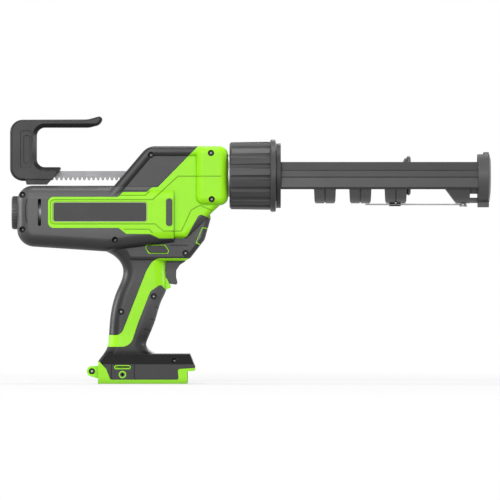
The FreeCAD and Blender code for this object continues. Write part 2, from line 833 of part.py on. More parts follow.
def hook_slot(grow):
    """Slot for the belt hook above its screw thread."""
    x = size("hook_x")
    z = size("hook_level")
    low = z + 6.8 - grow
    high = z + 9.2 + grow
    corners = [(x - 8 - grow, low), (x + 8 + grow, low), (x + 8 + grow, high), (x - 8 - grow, high)]
    return [(a, b, 1.1 + grow) for a, b in corners]


def ribbon(points, width):
    """Outline of a narrow band along a line of points with mitred bends."""
    places = [V(x, 0, z) for x, z in points]
    sides = []
    for first, second in zip(places, places[1:]):
        along = (second - first).normalize()
        sides.append(V(-along.z, 0, along.x))
    left = []
    right = []
    for number, place in enumerate(places):
        before = sides[max(number - 1, 0)]
        after = sides[min(number, len(sides) - 1)]
        middle = (before + after).normalize()
        reach = middle * (width / 2 / middle.dot(after))
        left.append(place + reach)
        right.append(place - reach)
    return [(place.x, place.z, 0) for place in left + right[::-1]]


def seam_lines():
    """Lines of the seams in side view, first on the green panel, then on the overmould."""
    tail = size("label_rear")
    low = axis + size("label_lift") - size(MOTOR_DROP) - size("label_half_height") - 2.4
    high = low + 2 * size("label_half_height") + 4.8
    panel = [
        (size("nose_front") - 7.5, axis - 1), (38.6, axis - 1), (11.1, high), (tail + 2, high),
        (tail - 1.6, high - 1), (tail - 2.6, high - 4), (tail - 2.6, low + 4), (tail - 1.6, low + 1),
        (tail + 2, low), (13.7, low), (22.9, axis - 60.8), (42.4, axis - 60.8), (53.3, axis - 37.7),
        (62.5, axis - 32.7), (75.4, axis - 38.2),
    ]
    upper = [(-25.7, axis - 21.8), (3.3, axis - 21.8), (7.6, axis - 17.4)]
    lower = [(-20.3, axis - 58.8), (7, axis - 58.8), (11, axis - 62.8)]
    rear = size("barrel_rear")
    shoulder = size("foot_shoulder") - 0.6
    foot_rear = size("foot_rear")
    overmould = [
        [(30, axis - 76.4), (49.5, axis - 76.4)],
        [(rear + 11.5, axis - 25.5), (rear + 9.6, axis - 33), (rear + 9.6, axis - 45),
         (rear + 11, axis - 51.5)],
        [(foot_rear + 39.7, 4.8), (foot_rear + 39.7, shoulder)],
        [(foot_rear + 14.8, 4.8), (foot_rear + 14.8, shoulder)],
    ]
    for x, z in ((16.7, 82.5), (10.8, 69.4), (4.0, 58.5)):
        overmould.append([(x - 3, z + 1.1), (x + 4, z - 1.4)])
    return [panel, upper, lower], overmould


def ramp_prism():
    rise = size("tower_rise")
    corners = [
        (-60, -12.2, 0), (16.5, -12.2, 0), (size("nose_front") - 20, rise + 12, 0),
        (-60, rise + 12, 0),
    ]
    return prism([(x, axis + z, radius) for x, z, radius in corners], -90, 90)


def button_outline(gap):
    corners = [
        (5.3 - gap, -76.9 + gap), (23.4 + gap, -76.9 + gap), (27.4 + gap, -81.9),
        (26.6 + gap, -84.1 - gap), (8 - gap, -84.1 - gap), (4.1 - gap, -79.2),
    ]
    return [(x, axis + z, 1.2) for x, z in corners]


def rod_along(x, z, radius, length, height=axis):
    return Part.makeCylinder(radius, length, V(x, 0, height + z), V(1, 0, 0))


def across(x, z, radius, start, length):
    return Part.makeCylinder(radius, length, V(x, start, z), V(0, 1, 0))


def block(x_low, x_high, half, z_low, z_high):
    return Part.makeBox(x_high - x_low, 2 * half, z_high - z_low, V(x_low, -half, z_low))


def ribs(outer):
    """Plates inside the shell that carry the motor, gear case, frame, guide and switch."""
    motor = rod_along(-300, 0, size("motor_radius") + play / 2, 600, motor_z)
    case = rod_along(-300, 0, size("gearbox_radius") + play / 2, 600, motor_z)
    stem = rod_along(-300, 0, size("dial_stem") + play, 600, motor_z)
    frame = block(-300, 300, size("frame_half_width") + play / 2, 0, 400)
    guide = block(-300, 300, size("guide_half_width") + play / 2,
                  axis - size("guide_half_height") - play / 2,
                  axis + size("guide_half_height") + play / 2)
    spigot = rod_along(-300, 0, size("spigot_radius") + 1, 600)
    switch = block(-300, 300, size("switch_half_width") + play / 2, 0, 400)
    lamp = block(-300, 300, 8 + play / 2, 0, 400)
    motor_x = size("motor_rear")
    case_x = size("motor_rear + motor_length")
    case_end = case_x + size("gearbox_length")
    plates = []
    rear = size("barrel_rear + wall")
    low = axis - size("barrel_rear_drop")
    high = axis - size("barrel_top_drop")
    plates.append((block(rear - 0.5, rear + 2.4, 60, low, high), stem))
    for x in (motor_x + 14, motor_x + size("motor_length") - 8):
        plates.append((block(x, x + size("wall"), 60, low, high), motor))
    for x in (case_x + 8, case_end - 12):
        plates.append((block(x, x + size("wall"), 60, low, high), case))
    reach = size("frame_half_length") - 10
    for x in (gear_x - reach, gear_x + reach - size("wall")):
        plates.append((block(x, x + size("wall"), 60, axis - 44, axis + 5), frame))
    x = size("rear_guide_x") + 3
    plates.append((block(x, x + size("wall"), 60, axis - 13, axis + 14), guide))
    x = size("nose_front - wall - flange_thickness - wall") - 2 * play
    plates.append((block(x, x + size("wall"), 60, axis - 60, axis + 60), spigot))
    top = axis - size("switch_top_drop")
    plates.append((block(-9, 6, 60, top - 24, top - 3), switch))
    plates.append((block(54.5, 59.5, 60, axis - 78, axis - 62), lamp))
    ready = []
    for plate, hole in plates:
        ready.append(outer.common(plate).cut(hole))
    return ready


def screw_places():
    for screw, *unused in SCREWS:
        if screw == "lug":
            x = size("lug_x")
            z = size("lug_level")
        else:
            x = size(f"screw_{screw}_x")
            z = size(f"screw_{screw}_z") + (0 if screw == "foot" else axis)
        yield screw, x, z, size(f"screw_{screw}_seat")


def shell_openings():
    """Holes and channels cut through the finished shell."""
    drive = axis
    dial_back = size("barrel_rear + dial_sink")
    half_rod = size("rod_width") / 2 + 1
    half_height = size("rod_height") / 2 + 1.5
    nose_back = size("nose_front - wall") - 1
    trigger_top = axis - size("chin_drop") + 0.8
    slot = size("trigger_half_width") + play
    tools = [
        block(-60, 6, half_rod, drive - half_height, drive + half_height),
        rod_along(nose_back, 0, size("spigot_radius") + play, 20),
        rod_along(dial_back - 20, 0, size("dial_radius") + 2 * play, 20, motor_z),
        rod_along(dial_back - 20, 0, size("dial_stem") + play, 24, motor_z),
        block(size("channel_rear"), 90, size("channel_half_width"), -5, size("channel_height")),
        block(size("switch_front") + 2, 60, slot, trigger_top - 28.5, trigger_top),
        prism(button_outline(play), -60, 60),
        block(61, 80, 6, axis - 73.5, axis - 62),
        prism([(-113.9, axis - 25.6, 1.5), (-110.6, axis - 25.6, 1.5),
               (-110.6, axis - 55, 1.5), (-113.9, axis - 55, 1.5)], -60, 60),
    ]
    hook_x = size("hook_x")
    hook_z = size("hook_level")
    half = size("foot_half_width")
    tools.append(across(hook_x, hook_z, size("insert_radius"), -half - 1, 2 * half + 2))
    for side in (-1, 1):
        y = side * (half - 1.2) - 2
        tools.append(prism(hook_slot(0), y, y + 4))
    return tools


def rails():
    low = size("rail_low")
    high = size("rail_high") - low
    half = size("channel_half_width")
    depth = size("rail_depth")
    length = size("foot_front - channel_rear") - 4
    strips = []
    for start in (-half - 0.5, half - depth):
        strips.append(Part.makeBox(length, depth + 0.5, high, V(size("channel_rear") + 2, start, low)))
    return strips


def lug():
    half = size("lug_half_width")
    x = size("lug_x")
    z = size("lug_level")
    radius = size("lug_radius")
    web = Part.makeBox(size("foot_rear") - x + 2, 2 * half, 1.5 * radius, V(x, -half, z - radius / 2))
    return across(x, z, radius, -half, 2 * half).fuse(web)


def label_plate(gap):
    """Rounded plate on the flat side of the barrel, grown by gap."""
    half = size("barrel_half_width")
    rear = size("label_rear") - gap
    front = size("label_front") + gap
    low = motor_z + size("label_lift") - size("label_half_height") - gap
    high = motor_z + size("label_lift") + size("label_half_height") + gap
    corners = [(rear, low, 3), (rear, high, 3), (front, high, 3), (front, low, 3)]
    return prism(corners, -half - (1 if gap else 0), size("label_depth") - half)


def bumper_plate(gap):
    half = size("barrel_half_width")
    low = axis - size("bumper_low_drop") - gap
    high = axis - size("bumper_top_drop") + gap
    front = size("barrel_front - bumper_setback")
    rear = front - size("bumper_length") - gap
    front = front + gap
    corners = [(rear, low, 2.8), (rear, high, 2.8), (front, high, 2.8), (front, low, 2.8)]
    return prism(corners, -half - 0.6, -half + 1.2)


def cut_each(shape, tools):
    """Cut the tools one after the other."""
    for tool in tools:
        shape = shape.cut(tool)
    return shape


def make_shells():
    outer = near_half(envelope(0))
    core = near_half(envelope(size("skin")))
    hollow = near_half(envelope(size("wall"), foot=False, rim=False))
    hollow = hollow.cut(block(-300, 300, 90, -10, size("channel_height") + size("wall")))
    band = outer.cut(core)
    window = window_prism(0)
    lens = band.common(window)
    dark = band.cut(green_prisms() + [window])
    inner = [near_half(rib) for rib in ribs(core)]
    inner += [near_half(finger_rest()), near_half(lug())]
    openings = shell_openings()
    shell = outer.cut(hollow).cut([dark, lens]).fuse(inner)
    wells = []
    pilots = []
    shank = size("screw_shank")
    for screw, x, z, seat in screw_places():
        if screw not in ("foot", "lug"):
            shell = shell.fuse(across(x, z, size("boss_radius"), -90, 90).common(core))
        well = across(x, z, size("screw_head") + play, -90, 90 - seat)
        wells.append(well.fuse(across(x, z, shank + play, -90, 100)))
        pilots.append(across(x, z, shank, -1, size("screw_grip") + 2))
    shell = cut_each(shell, openings)
    shell = shell.fuse([near_half(strip) for strip in rails()])
    under = near_half(envelope(size("seam_depth")))
    seams = []
    for lines in seam_lines():
        seams.append([prism(ribbon(line, size("seam_width")), -90, -4).cut(under) for line in lines])
    shell = cut_each(shell, seams[0] + [label_plate(play), bumper_plate(play / 2)])
    dark = cut_each(dark.cut(openings), seams[1])
    mid_plane = V(0, 1, 0)
    left_shell = cut_each(shell.mirror(V(), mid_plane), pilots)
    left_dark = dark.mirror(V(), mid_plane)
    right_shell = cut_each(shell, wells)
    right_dark = cut_each(dark, wells)
    return [item.copy() for item in (right_shell, left_shell, right_dark, left_dark, lens)]


def largest(shape, least):
    """Solids of a shape above a least volume."""
    return [item for item in shape.Solids if item.Volume > least]


right_shell, left_shell, right_dark, left_dark, near_lens = make_shells()
ramp = ramp_prism()
for side, shell, dark in (("right", right_shell, right_dark), ("left", left_shell, left_dark)):
    keep(f"{side}_housing", solid_feature(f"{side}_housing", max(shell.Solids, key=lambda s: s.Volume)))
    cover = largest(dark.common(ramp), 60)
    rest = largest(dark.cut(ramp), 60)
    upper = [item for item in rest if item.CenterOfMass.z > axis - 110]
    lower = [item for item in rest if item.CenterOfMass.z <= axis - 110]
    keep(f"{side}_ramp_cover", solid_feature(f"{side}_ramp_cover", Part.makeCompound(cover)))
    keep(f"{side}_motor_overmould", solid_feature(f"{side}_motor_overmould", Part.makeCompound(upper)))
    keep(f"{side}_foot_overmould", solid_feature(f"{side}_foot_overmould", Part.makeCompound(lower)))
    plate = label_plate(0)
    bumper = bumper_plate(0)
    if side == "left":
        plate = plate.mirror(V(), V(0, 1, 0))
        bumper = bumper.mirror(V(), V(0, 1, 0))
    keep(f"{side}_label", solid_feature(f"{side}_label", plate))
    keep(f"{side}_side_bumper", solid_feature(f"{side}_side_bumper", bumper))

lens = near_lens.fuse(near_lens.mirror(V(), V(0, 1, 0))).removeSplitter()
keep("light_window", solid_feature("light_window", lens))

screw_parts = []
for screw, x, z, seat in screw_places():
    head = cylinder(f"head_{screw}", "y", (str(x), str(-seat) + " - screw_head_height", str(z)),
                    "screw_head", "screw_head_height")
    shank = cylinder(f"shank_{screw}", "y", (str(x), str(-seat), str(z)), "screw_shank",
                     f"{seat} + screw_grip")
    screw_parts.append(fuse(f"screw_{screw}", [head, shank]))
keep("housing_screws", group("housing_screws", screw_parts))

# Rod with its teeth below


def rack_shape():
    pitch = math.pi * size("rack_module")
    half = size("rod_height") / 2
    tip = axis - half
    root = tip + size("rack_addendum") + size("rack_dedendum")
    slope = math.tan(math.radians(20))
    pitch_half = pitch / 4 + size("backlash") / 4
    tip_half = pitch_half + size("rack_addendum") * slope
    root_half = pitch_half - size("rack_dedendum") * slope
    points = [V(size("rod_rear"), 0, axis + half), V(size("rod_rear"), 0, tip)]
    rear = int(size("rack_rear_teeth"))
    front = int(size("rack_front_teeth"))
    for number in range(-rear, front + 1):
        x = gear_x + number * pitch
        points.append(V(x - tip_half, 0, tip))
        points.append(V(x - root_half, 0, root))
        points.append(V(x + root_half, 0, root))
        points.append(V(x + tip_half, 0, tip))
    points.append(V(size("rod_front"), 0, tip))
    points.append(V(size("rod_front"), 0, axis + half))
    face = Part.Face(Part.makePolygon(points + points[:1]))
    width = size("rod_width")
    face.translate(V(0, -width / 2, 0))
    bar = face.extrude(V(0, width, 0))
    pin_x = size("rod_rear") + 12
    bar = bar.cut(across(pin_x, axis, size("pin_radius"), -width, 2 * width))
    tap = Part.makeCylinder(2.0, 14, V(size("rod_front") - 14, 0, axis), V(1, 0, 0))
    return bar.cut(tap)


keep("rack_bar", solid_feature("rack_bar", rack_shape()))


def pull_outline():
    rear = size("pull_rear")
    inner = size("pull_inner")
    top = axis + size("pull_top")
    under = top + 0.4 - size("pull_arm")
    tip = size("pull_tip_x")
    tongue = size("pull_tongue_x")
    tongue_top = axis + size("pull_tongue_rise")
    foot = size("pull_foot_x")
    low = axis - size("pull_drop")
    corner = size("pull_corner")
    bend = size("pull_inner_corner")
    edge = size("pull_edge")
    return [
        (rear, top, corner), (tip - 15.8, top + 0.3, 25),
        (tip + 2.7, top + size("pull_tip_rise") + 1.8, edge + 0.2), (tip - 2.8, under + 3, 8),
        (tip - 14.8, under, 15),
        (inner, under, bend), (inner, tongue_top, bend), (tongue, tongue_top, 1.2),
        (tongue - 1, tongue_top - 3, 0), (foot, low, 0), (foot - 22, low, 0), (foot - 23, low + 4, 0),
        (rear, low + 4, corner),
    ]


def finger_bevel(side):
    """Tool with slanted sides that bevels the rim of the finger opening on one side."""
    half = size("pull_half_width")
    bevel = size("pull_bevel")
    inner = size("pull_inner")
    high = axis + size("pull_top - pull_arm") + 0.4
    low = axis + size("pull_tongue_rise")
    bend = size("pull_inner_corner")
    past = size("pull_tip_x") + 30
    wires = []
    for grow in (bevel + 1, -1):
        wire = rounded_wire([
            (inner - grow, high + grow, bend + grow), (past, high + grow, 0),
            (past, low - grow, 0), (inner - grow, low - grow, bend + grow),
        ])
        wire.translate(V(0, side * (half - bevel + grow), 0))
        wires.append(wire)
    return Part.makeLoft(wires, True, True)


def pull_solid():
    """Hooked handle with round edges above the tongue, a rod slot, a pin hole and side recesses."""
    half = size("pull_half_width")
    blank = slab(pull_outline(), half, 0, 0)
    tongue_top = axis + size("pull_tongue_rise")
    rims = []
    for edge in blank.Edges:
        limits = edge.BoundBox
        middle = edge.CenterOfMass
        low = middle.z < tongue_top + 0.01 and middle.x > size("pull_rear + pull_corner") + 1
        if limits.YLength < 1e-6 and not low:
            rims.append(edge)
    solid = blank.makeFillet(size("pull_edge"), rims)
    fit = play / 3
    rod_rear = size("rod_rear")
    wide = size("rod_width") / 2 + fit
    tall = size("rod_height") / 2 + fit
    tools = [
        block(rod_rear - fit, rod_rear + 60, wide, axis - tall, axis + tall),
        across(rod_rear + 12, axis, size("pin_radius"), 3 - half, 80),
    ]
    block_half = size("pull_block_half")
    for side in (-1, 1):
        tools.append(finger_bevel(side))
        start = block_half if side > 0 else -block_half - 40
        tools.append(Part.makeBox(90, 40, 40, V(
            size("pull_foot_x") - 23.5, start, axis - size("pull_block_drop") - 40)))
    for step, (side_gap, end_gap) in enumerate(((5.4, 5), (7.2, 10)), 1):
        left = size("pull_rear") + 2 * side_gap + 0.6
        right = size("pull_inner") - side_gap
        floor = tongue_top + end_gap - 6
        ceiling = axis + size("pull_top - pull_arm") + 2 - end_gap
        outline = [(left, floor, 2.9), (right, floor, 2.9), (right, ceiling, 2.9), (left, ceiling, 2.9)]
        depth = half - step * size("pull_recess")
        tools.append(prism(outline, -40, -depth))
        tools.append(prism(outline, depth, 40))
    return cut_each(solid, tools)


keep("pull_handle", solid_feature("pull_handle", pull_solid()))
keep("pull_pin", cylinder("pull_pin", "y", (
    "rod_rear + 12", "3 - pull_half_width", "axis_height"), "pin_radius",
    "2 * pull_half_width - 3.6"))

piston_plate = turned("piston_plate", [
    ("rod_front", "2.4"), ("rod_front + piston_thickness - 1", "2.4"),
    ("rod_front + piston_thickness", "5"), ("rod_front + piston_thickness", "piston_radius - 1.5"),
    ("rod_front + piston_thickness - 1.5", "piston_radius"),
    ("rod_front + 1.5", "piston_radius"), ("rod_front", "piston_radius - 1.5"),
], "axis_height")
keep("piston_plate", piston_plate)
cone = turned("cone_block", [
    ("rod_front - cone_length", "0"), ("rod_front", "0"), ("rod_front", "cone_radius"),
    ("rod_front - 2", "cone_radius"), ("rod_front - cone_length", "cone_hub"),
], "axis_height")
cone_slot = box("cone_slot", (
    "rod_front - 40", "0 - rod_width / 2 - play / 3", "axis_height - rod_height / 2 - play / 3"),
    ("rod_front + 1", "rod_width / 2 + play / 3", "axis_height + rod_height / 2 + play / 3"))
keep("piston_cone", cut("piston_cone", cone, cone_slot))
keep("piston_screw", turned("piston_screw", [
    ("rod_front - 13", "0"), ("rod_front + piston_thickness + 2", "0"),
    ("rod_front + piston_thickness + 2", "4"), ("rod_front + piston_thickness", "4.4"),
    ("rod_front + piston_thickness", "1.95"), ("rod_front - 13", "1.95"),
], "axis_height"))

# Gears


def involute(angle):
    return math.tan(angle) - angle


def gear_wire(teeth, module, tip, root, thinning, turn=0.0):
    """Closed outline of a spur gear in the XY plane; a tooth stands on +X before the turn."""
    pitch = module * teeth / 2
    base = pitch * math.cos(math.radians(20))
    at_pitch = math.pi / (2 * teeth) - thinning / (2 * pitch) + involute(math.radians(20))
    low = pitch - root
    high = pitch + tip
    steps = [low] + ([base] if base > low else [])
    start = max(low, base)
    steps += [start + (high - start) * part for part in (0.35, 0.7, 1.0)]
    flank = []
    for radius in steps:
        lean = involute(math.acos(min(1.0, base / radius))) if radius > base else 0.0
        flank.append((radius, at_pitch - lean))
    points = []
    for number in range(teeth):
        middle = turn + 2 * math.pi * number / teeth
        for radius, lean in flank:
            points.append(V(radius * math.cos(middle - lean), radius * math.sin(middle - lean), 0))
        for radius, lean in reversed(flank):
            points.append(V(radius * math.cos(middle + lean), radius * math.sin(middle + lean), 0))
    return Part.makePolygon(points + points[:1])


def spur_gear(teeth, module, width, turn=0.0):
    tip = size("tooth_tip") * module
    root = size("tooth_root") * module
    wire = gear_wire(teeth, module, tip, root, size("backlash"), turn)
    return Part.Face(wire).extrude(V(0, 0, width))


def bevel_solid(teeth, mate, turn=0.0):
    """Straight bevel gear with its apex at the origin and its large end on +Z."""
    module = size("bevel_module")
    pitch = module * teeth / 2
    cone_angle = math.atan2(teeth, mate)
    depth = pitch / math.tan(cone_angle)
    virtual = pitch / math.cos(cone_angle)
    base = virtual * math.cos(math.radians(20))
    at_pitch = math.pi * module / (4 * virtual) - size("backlash") / virtual
    at_pitch += involute(math.radians(20))
    profile = []
    for rise in (-1.0, -0.45, 0.0, 0.35, 0.7):
        radius = virtual + rise * module
        lean = involute(math.acos(min(1.0, base / radius))) if radius > base else 0.0
        real = pitch + rise * module * math.cos(cone_angle)
        angle = (at_pitch - lean) * radius / real
        level = depth - rise * module * math.sin(cone_angle)
        profile.append((real * depth / level, angle))
    points = []
    for number in range(teeth):
        middle = turn + 2 * math.pi * number / teeth
        for radius, lean in profile:
            points.append((radius * math.cos(middle - lean), radius * math.sin(middle - lean)))
        for radius, lean in reversed(profile):
            points.append((radius * math.cos(middle + lean), radius * math.sin(middle + lean)))
    small = 1 - size("bevel_face")
    wires = []
    for scale in (1.0, small):
        ring = [V(x * scale, y * scale, depth * scale) for x, y in points]
        wires.append(Part.makePolygon(ring + ring[:1]))
    return Part.makeLoft(wires, True, True), depth


def along_y(shape, x, y, z):
    shape.Placement = FreeCAD.Placement(V(x, y, z), TURNS["y"])
    return shape


def along_x(shape, x, y, z):
    shape.Placement = FreeCAD.Placement(V(x, y, z), TURNS["x"])
    return shape


shaft = size("shaft_radius")
frame_half = size("frame_half_width")
pinion_width = size("pinion_width")
spur_width = size("spur_width")
spur_y = size("spur_offset") - spur_width / 2
shaft_end = frame_half - 0.5

pinion = along_y(spur_gear(int(size("pinion_teeth")), size("rack_module"), pinion_width),
                 gear_x, -pinion_width / 2, pinion_z)
pinion = pinion.fuse(across(gear_x, pinion_z, shaft, -shaft_end, 2 * shaft_end))
keep("rack_pinion", solid_feature("rack_pinion", pinion))

output = along_y(spur_gear(int(size("output_teeth")), size("spur_module"), spur_width),
                 gear_x, spur_y, pinion_z)
output = output.cut(across(gear_x, pinion_z, shaft + 0.05, -60, 120))
keep("output_gear", solid_feature("output_gear", output))

cross = along_y(spur_gear(int(size("spur_pinion_teeth")), size("spur_module"), spur_width + 0.8,
                          math.pi / size("spur_pinion_teeth")), gear_x, spur_y - 0.4, motor_z)
cross = cross.cut(across(gear_x, motor_z, shaft, -60, 120))
keep("spur_pinion", solid_feature("spur_pinion", cross))
keep("cross_shaft", solid_feature("cross_shaft", across(gear_x, motor_z, shaft, -shaft_end, 2 * shaft_end)))

bevel_gear, gear_depth = bevel_solid(int(size("bevel_gear_teeth")), int(size("bevel_pinion_teeth")),
                                     math.pi / size("bevel_gear_teeth"))
bevel_gear = along_y(bevel_gear, gear_x, 0, motor_z)
hub = across(gear_x, motor_z, size("bevel_module * bevel_gear_teeth / 2") - 3.4, gear_depth - 0.01, 4)
bevel_gear = bevel_gear.fuse(hub).cut(across(gear_x, motor_z, shaft, -60, 120))
keep("bevel_gear", solid_feature("bevel_gear", bevel_gear))

bevel_pinion, pinion_depth = bevel_solid(int(size("bevel_pinion_teeth")), int(size("bevel_gear_teeth")))
bevel_pinion.rotate(V(), V(0, 1, 0), -90)
bevel_pinion.translate(V(gear_x, 0, motor_z))
bevel_bore = rod_along(gear_x - 60, 0, shaft, 80, motor_z)
keep("bevel_pinion", solid_feature("bevel_pinion", bevel_pinion.cut(bevel_bore)))

motor_front = size("motor_rear + motor_length")
planet_start = motor_front + 5
planet_width = size("planet_width")
module = size("planet_module")
sun_teeth = int(size("sun_teeth"))
planet_teeth = int(size("planet_teeth"))
ring_teeth = sun_teeth + 2 * planet_teeth
orbit = module * (sun_teeth + planet_teeth) / 2
case_length = size("gearbox_length")

sun = along_x(spur_gear(sun_teeth, module, planet_width), planet_start, 0, motor_z)
sun = sun.cut(rod_along(planet_start - 5, 0, size("rotor_shaft"), 60, motor_z))
keep("sun_gear", solid_feature("sun_gear", sun))

pins = []
for number in range(3):
    spot = math.pi + 2 * math.pi * number / 3
    y = orbit * math.sin(spot)
    z = motor_z - orbit * math.cos(spot)
    turn = spot + math.pi + math.pi / planet_teeth
    planet = along_x(spur_gear(planet_teeth, module, planet_width, turn), planet_start, y, z)
    bore = Part.makeCylinder(size("planet_pin") + 0.05, 60, V(planet_start - 5, y, z), V(1, 0, 0))
    name = f"planet_gear_{number + 1}"
    keep(name, solid_feature(name, planet.cut(bore)))
    pins.append(Part.makeCylinder(size("planet_pin"), planet_width + 1.2,
                                  V(planet_start, y, z), V(1, 0, 0)))

disc_x = planet_start + planet_width + 0.6
disc = rod_along(disc_x, 0, size("carrier_radius"), size("carrier_width"), motor_z)
output_end = gear_x - pinion_depth * (1 - size("bevel_face"))
carrier = disc.fuse(pins)
shaft_x = disc_x + size("carrier_width")
carrier = carrier.fuse(rod_along(shaft_x - 0.5, 0, shaft, output_end - shaft_x + 0.5, motor_z))
keep("planet_carrier", solid_feature("planet_carrier", carrier))

ring_cutter = gear_wire(ring_teeth, module, size("tooth_root") * module, size("tooth_tip") * module,
                        -size("backlash"), math.pi / ring_teeth)
case = rod_along(motor_front, 0, size("gearbox_radius"), case_length, motor_z)
teeth_space = Part.Face(ring_cutter).extrude(V(0, 0, planet_width + 6))
teeth_space = along_x(teeth_space, planet_start - 3, 0, motor_z)
inside = rod_along(planet_start + planet_width + 0.1, 0, size("gearbox_radius") - 2,
                   motor_front + case_length - size("gearbox_front") - planet_start - planet_width,
                   motor_z)
case = case.cut(teeth_space).cut(inside)
case = case.cut(rod_along(motor_front - 5, 0, shaft + 0.1, case_length + 20, motor_z))
case = case.cut(rod_along(motor_front - 1, 0, 7.5, 4, motor_z))
keep("ring_gear_case", solid_feature("ring_gear_case", case))

MOTOR_LEVEL = f"(axis_height - {MOTOR_DROP})"
keep("motor_can", turned("motor_can", [
    ("motor_rear", "motor_radius - motor_can_wall"), ("motor_rear", "motor_radius"),
    ("motor_rear + motor_length", "motor_radius"), ("motor_rear + motor_length", "4"),
    ("motor_rear + motor_length - 3", "4"),
    ("motor_rear + motor_length - 3", "motor_radius - motor_can_wall"),
], MOTOR_LEVEL))
keep("motor_end_bell", turned("motor_end_bell", [
    ("motor_rear", "rotor_shaft + 0.1"), ("motor_rear", "motor_radius - motor_can_wall"),
    ("motor_rear + bell_thickness", "motor_radius - motor_can_wall"),
    ("motor_rear + bell_thickness", "rotor_shaft + 0.1"),
], MOTOR_LEVEL))
keep("motor_rotor", turned("motor_rotor", [
    ("motor_rear - 1.5", "0"), ("motor_rear + motor_length + 5 + planet_width", "0"),
    ("motor_rear + motor_length + 5 + planet_width", "rotor_shaft"),
    ("motor_rear + motor_length - 9", "rotor_shaft"),
    ("motor_rear + motor_length - 9", "rotor_radius"),
    ("motor_rear + motor_length - 9 - rotor_length", "rotor_radius"),
    ("motor_rear + motor_length - 9 - rotor_length", "rotor_shaft"),
    ("motor_rear - 1.5", "rotor_shaft"),
], MOTOR_LEVEL))

# Gear frame with its bearing, bushes and guides
frame_outer = box("frame_outer", (
    "gear_x - frame_half_length", "0 - frame_half_width", "axis_height - frame_drop"),
    ("gear_x + frame_half_length", "frame_half_width", "axis_height + frame_rise"))
frame_inner = box("frame_inner", (
    "gear_x - frame_half_length + frame_wall", "frame_wall - frame_half_width",
    "axis_height - frame_drop - 1"),
    ("gear_x + frame_half_length - frame_wall", "frame_half_width - frame_wall",
     "axis_height + frame_rise + 1"))
frame_tools = [frame_inner]
for name, level in (("upper", f"axis_height - {PINION_DROP}"), ("lower", MOTOR_LEVEL)):
    frame_tools.append(cylinder(f"frame_bore_{name}", "y", ("gear_x", "0 - 60", level),
                                "shaft_radius + bush_wall", "120"))
frame_tools.append(cylinder("frame_bearing_bore", "x", (
    "gear_x - frame_half_length - 10", "0", MOTOR_LEVEL), "bearing_radius", "20"))
frame_tools.append(box("frame_rack_slot", (
    "gear_x - 60", "0 - rod_width / 2 - 1", "axis_height - rod_height / 2 - 1.5"),
    ("gear_x + 60", "rod_width / 2 + 1", "axis_height + frame_rise + 2")))
keep("gear_frame", cut("gear_frame", frame_outer, fuse("frame_tools", frame_tools)))
keep("output_bearing", turned("output_bearing", [
    ("gear_x - frame_half_length + frame_wall - bearing_width", "shaft_radius + 0.03"),
    ("gear_x - frame_half_length + frame_wall - bearing_width", "bearing_radius"),
    ("gear_x - frame_half_length + frame_wall", "bearing_radius"),
    ("gear_x - frame_half_length + frame_wall", "shaft_radius + 0.03"),
], MOTOR_LEVEL))
bushes = []
for name, level in (("upper", f"axis_height - {PINION_DROP}"), ("lower", MOTOR_LEVEL)):
    for side, start in (("right", "0 - frame_half_width"), ("left", "frame_half_width - frame_wall")):
        sleeve = cylinder(f"sleeve_{name}_{side}", "y", ("gear_x", start, level),
                          "shaft_radius + bush_wall", "frame_wall")
        hole = cylinder(f"sleeve_bore_{name}_{side}", "y", ("gear_x", "0 - 60", level),
                        "shaft_radius + 0.05", "120")
        bushes.append(cut(f"bush_{name}_{side}", sleeve, hole))
keep("shaft_bushes", group("shaft_bushes", bushes))

rear_guide = box("rear_guide_block", (
    "rear_guide_x", "0 - guide_half_width", "axis_height - guide_half_height"),
    ("rear_guide_x + guide_length", "guide_half_width", "axis_height + guide_half_height"))
rear_guide_slot = box("rear_guide_slot", (
    "rear_guide_x - 5", "0 - rod_width / 2 - play / 2", "axis_height - rod_height / 2 - play / 2"),
    ("rear_guide_x + guide_length + 5", "rod_width / 2 + play / 2",
     "axis_height + rod_height / 2 + play / 2"))
keep("rear_rack_guide", cut("rear_rack_guide", rear_guide, rear_guide_slot))

# Nose spigot, lock ring
FLANGE_FRONT = "(nose_front - wall - play)"
spigot_body = turned("spigot_body", [
    (f"{FLANGE_FRONT} - flange_thickness", "0"),
    (f"{FLANGE_FRONT} - flange_thickness", "flange_radius"),
    (f"{FLANGE_FRONT} - flange_chamfer * 2 / 3", "flange_radius"),
    (FLANGE_FRONT, "flange_radius - flange_chamfer"), (FLANGE_FRONT, "spigot_radius"),
    ("ring_rear + ring_back_wall", "spigot_radius"),
    ("ring_rear + ring_back_wall", "0"),
], "axis_height")
spigot_slot = box("spigot_slot", (
    "nose_front - 60", "0 - rod_width / 2 - play / 2", "axis_height - rod_height / 2 - play / 2"),
    ("nose_front + 90", "rod_width / 2 + play / 2", "axis_height + rod_height / 2 + play / 2"))
keep("nose_spigot", cut("nose_spigot", spigot_body, spigot_slot))

HUB_BACK = "(ring_rear + ring_back_wall + play)"
RING_FRONT = "(ring_rear + ring_length)"
ring = turned("lock_ring", [
    ("ring_rear", "spigot_radius + play"), ("ring_rear", "ring_radius - 2.6"),
    ("ring_rear + 2", "ring_radius - 0.6"),
    (f"{RING_FRONT} - ring_rim_length - 0.6", "ring_radius"),
    (f"{RING_FRONT} - ring_rim_length", "ring_rim_radius - 0.6"),
    (f"{RING_FRONT} - ring_rim_length + 1", "ring_rim_radius"),
    (f"{RING_FRONT} - 1", "ring_rim_radius"), (RING_FRONT, "ring_rim_radius - 1"),
    (RING_FRONT, "hub_radius + play"), (f"{RING_FRONT} - ring_lip", "hub_radius + play"),
    (f"{RING_FRONT} - ring_lip", "hub_flange_radius + play"),
    ("ring_rear + ring_back_wall", "hub_flange_radius + play"),
    ("ring_rear + ring_back_wall", "spigot_radius + play"),
], "axis_height")
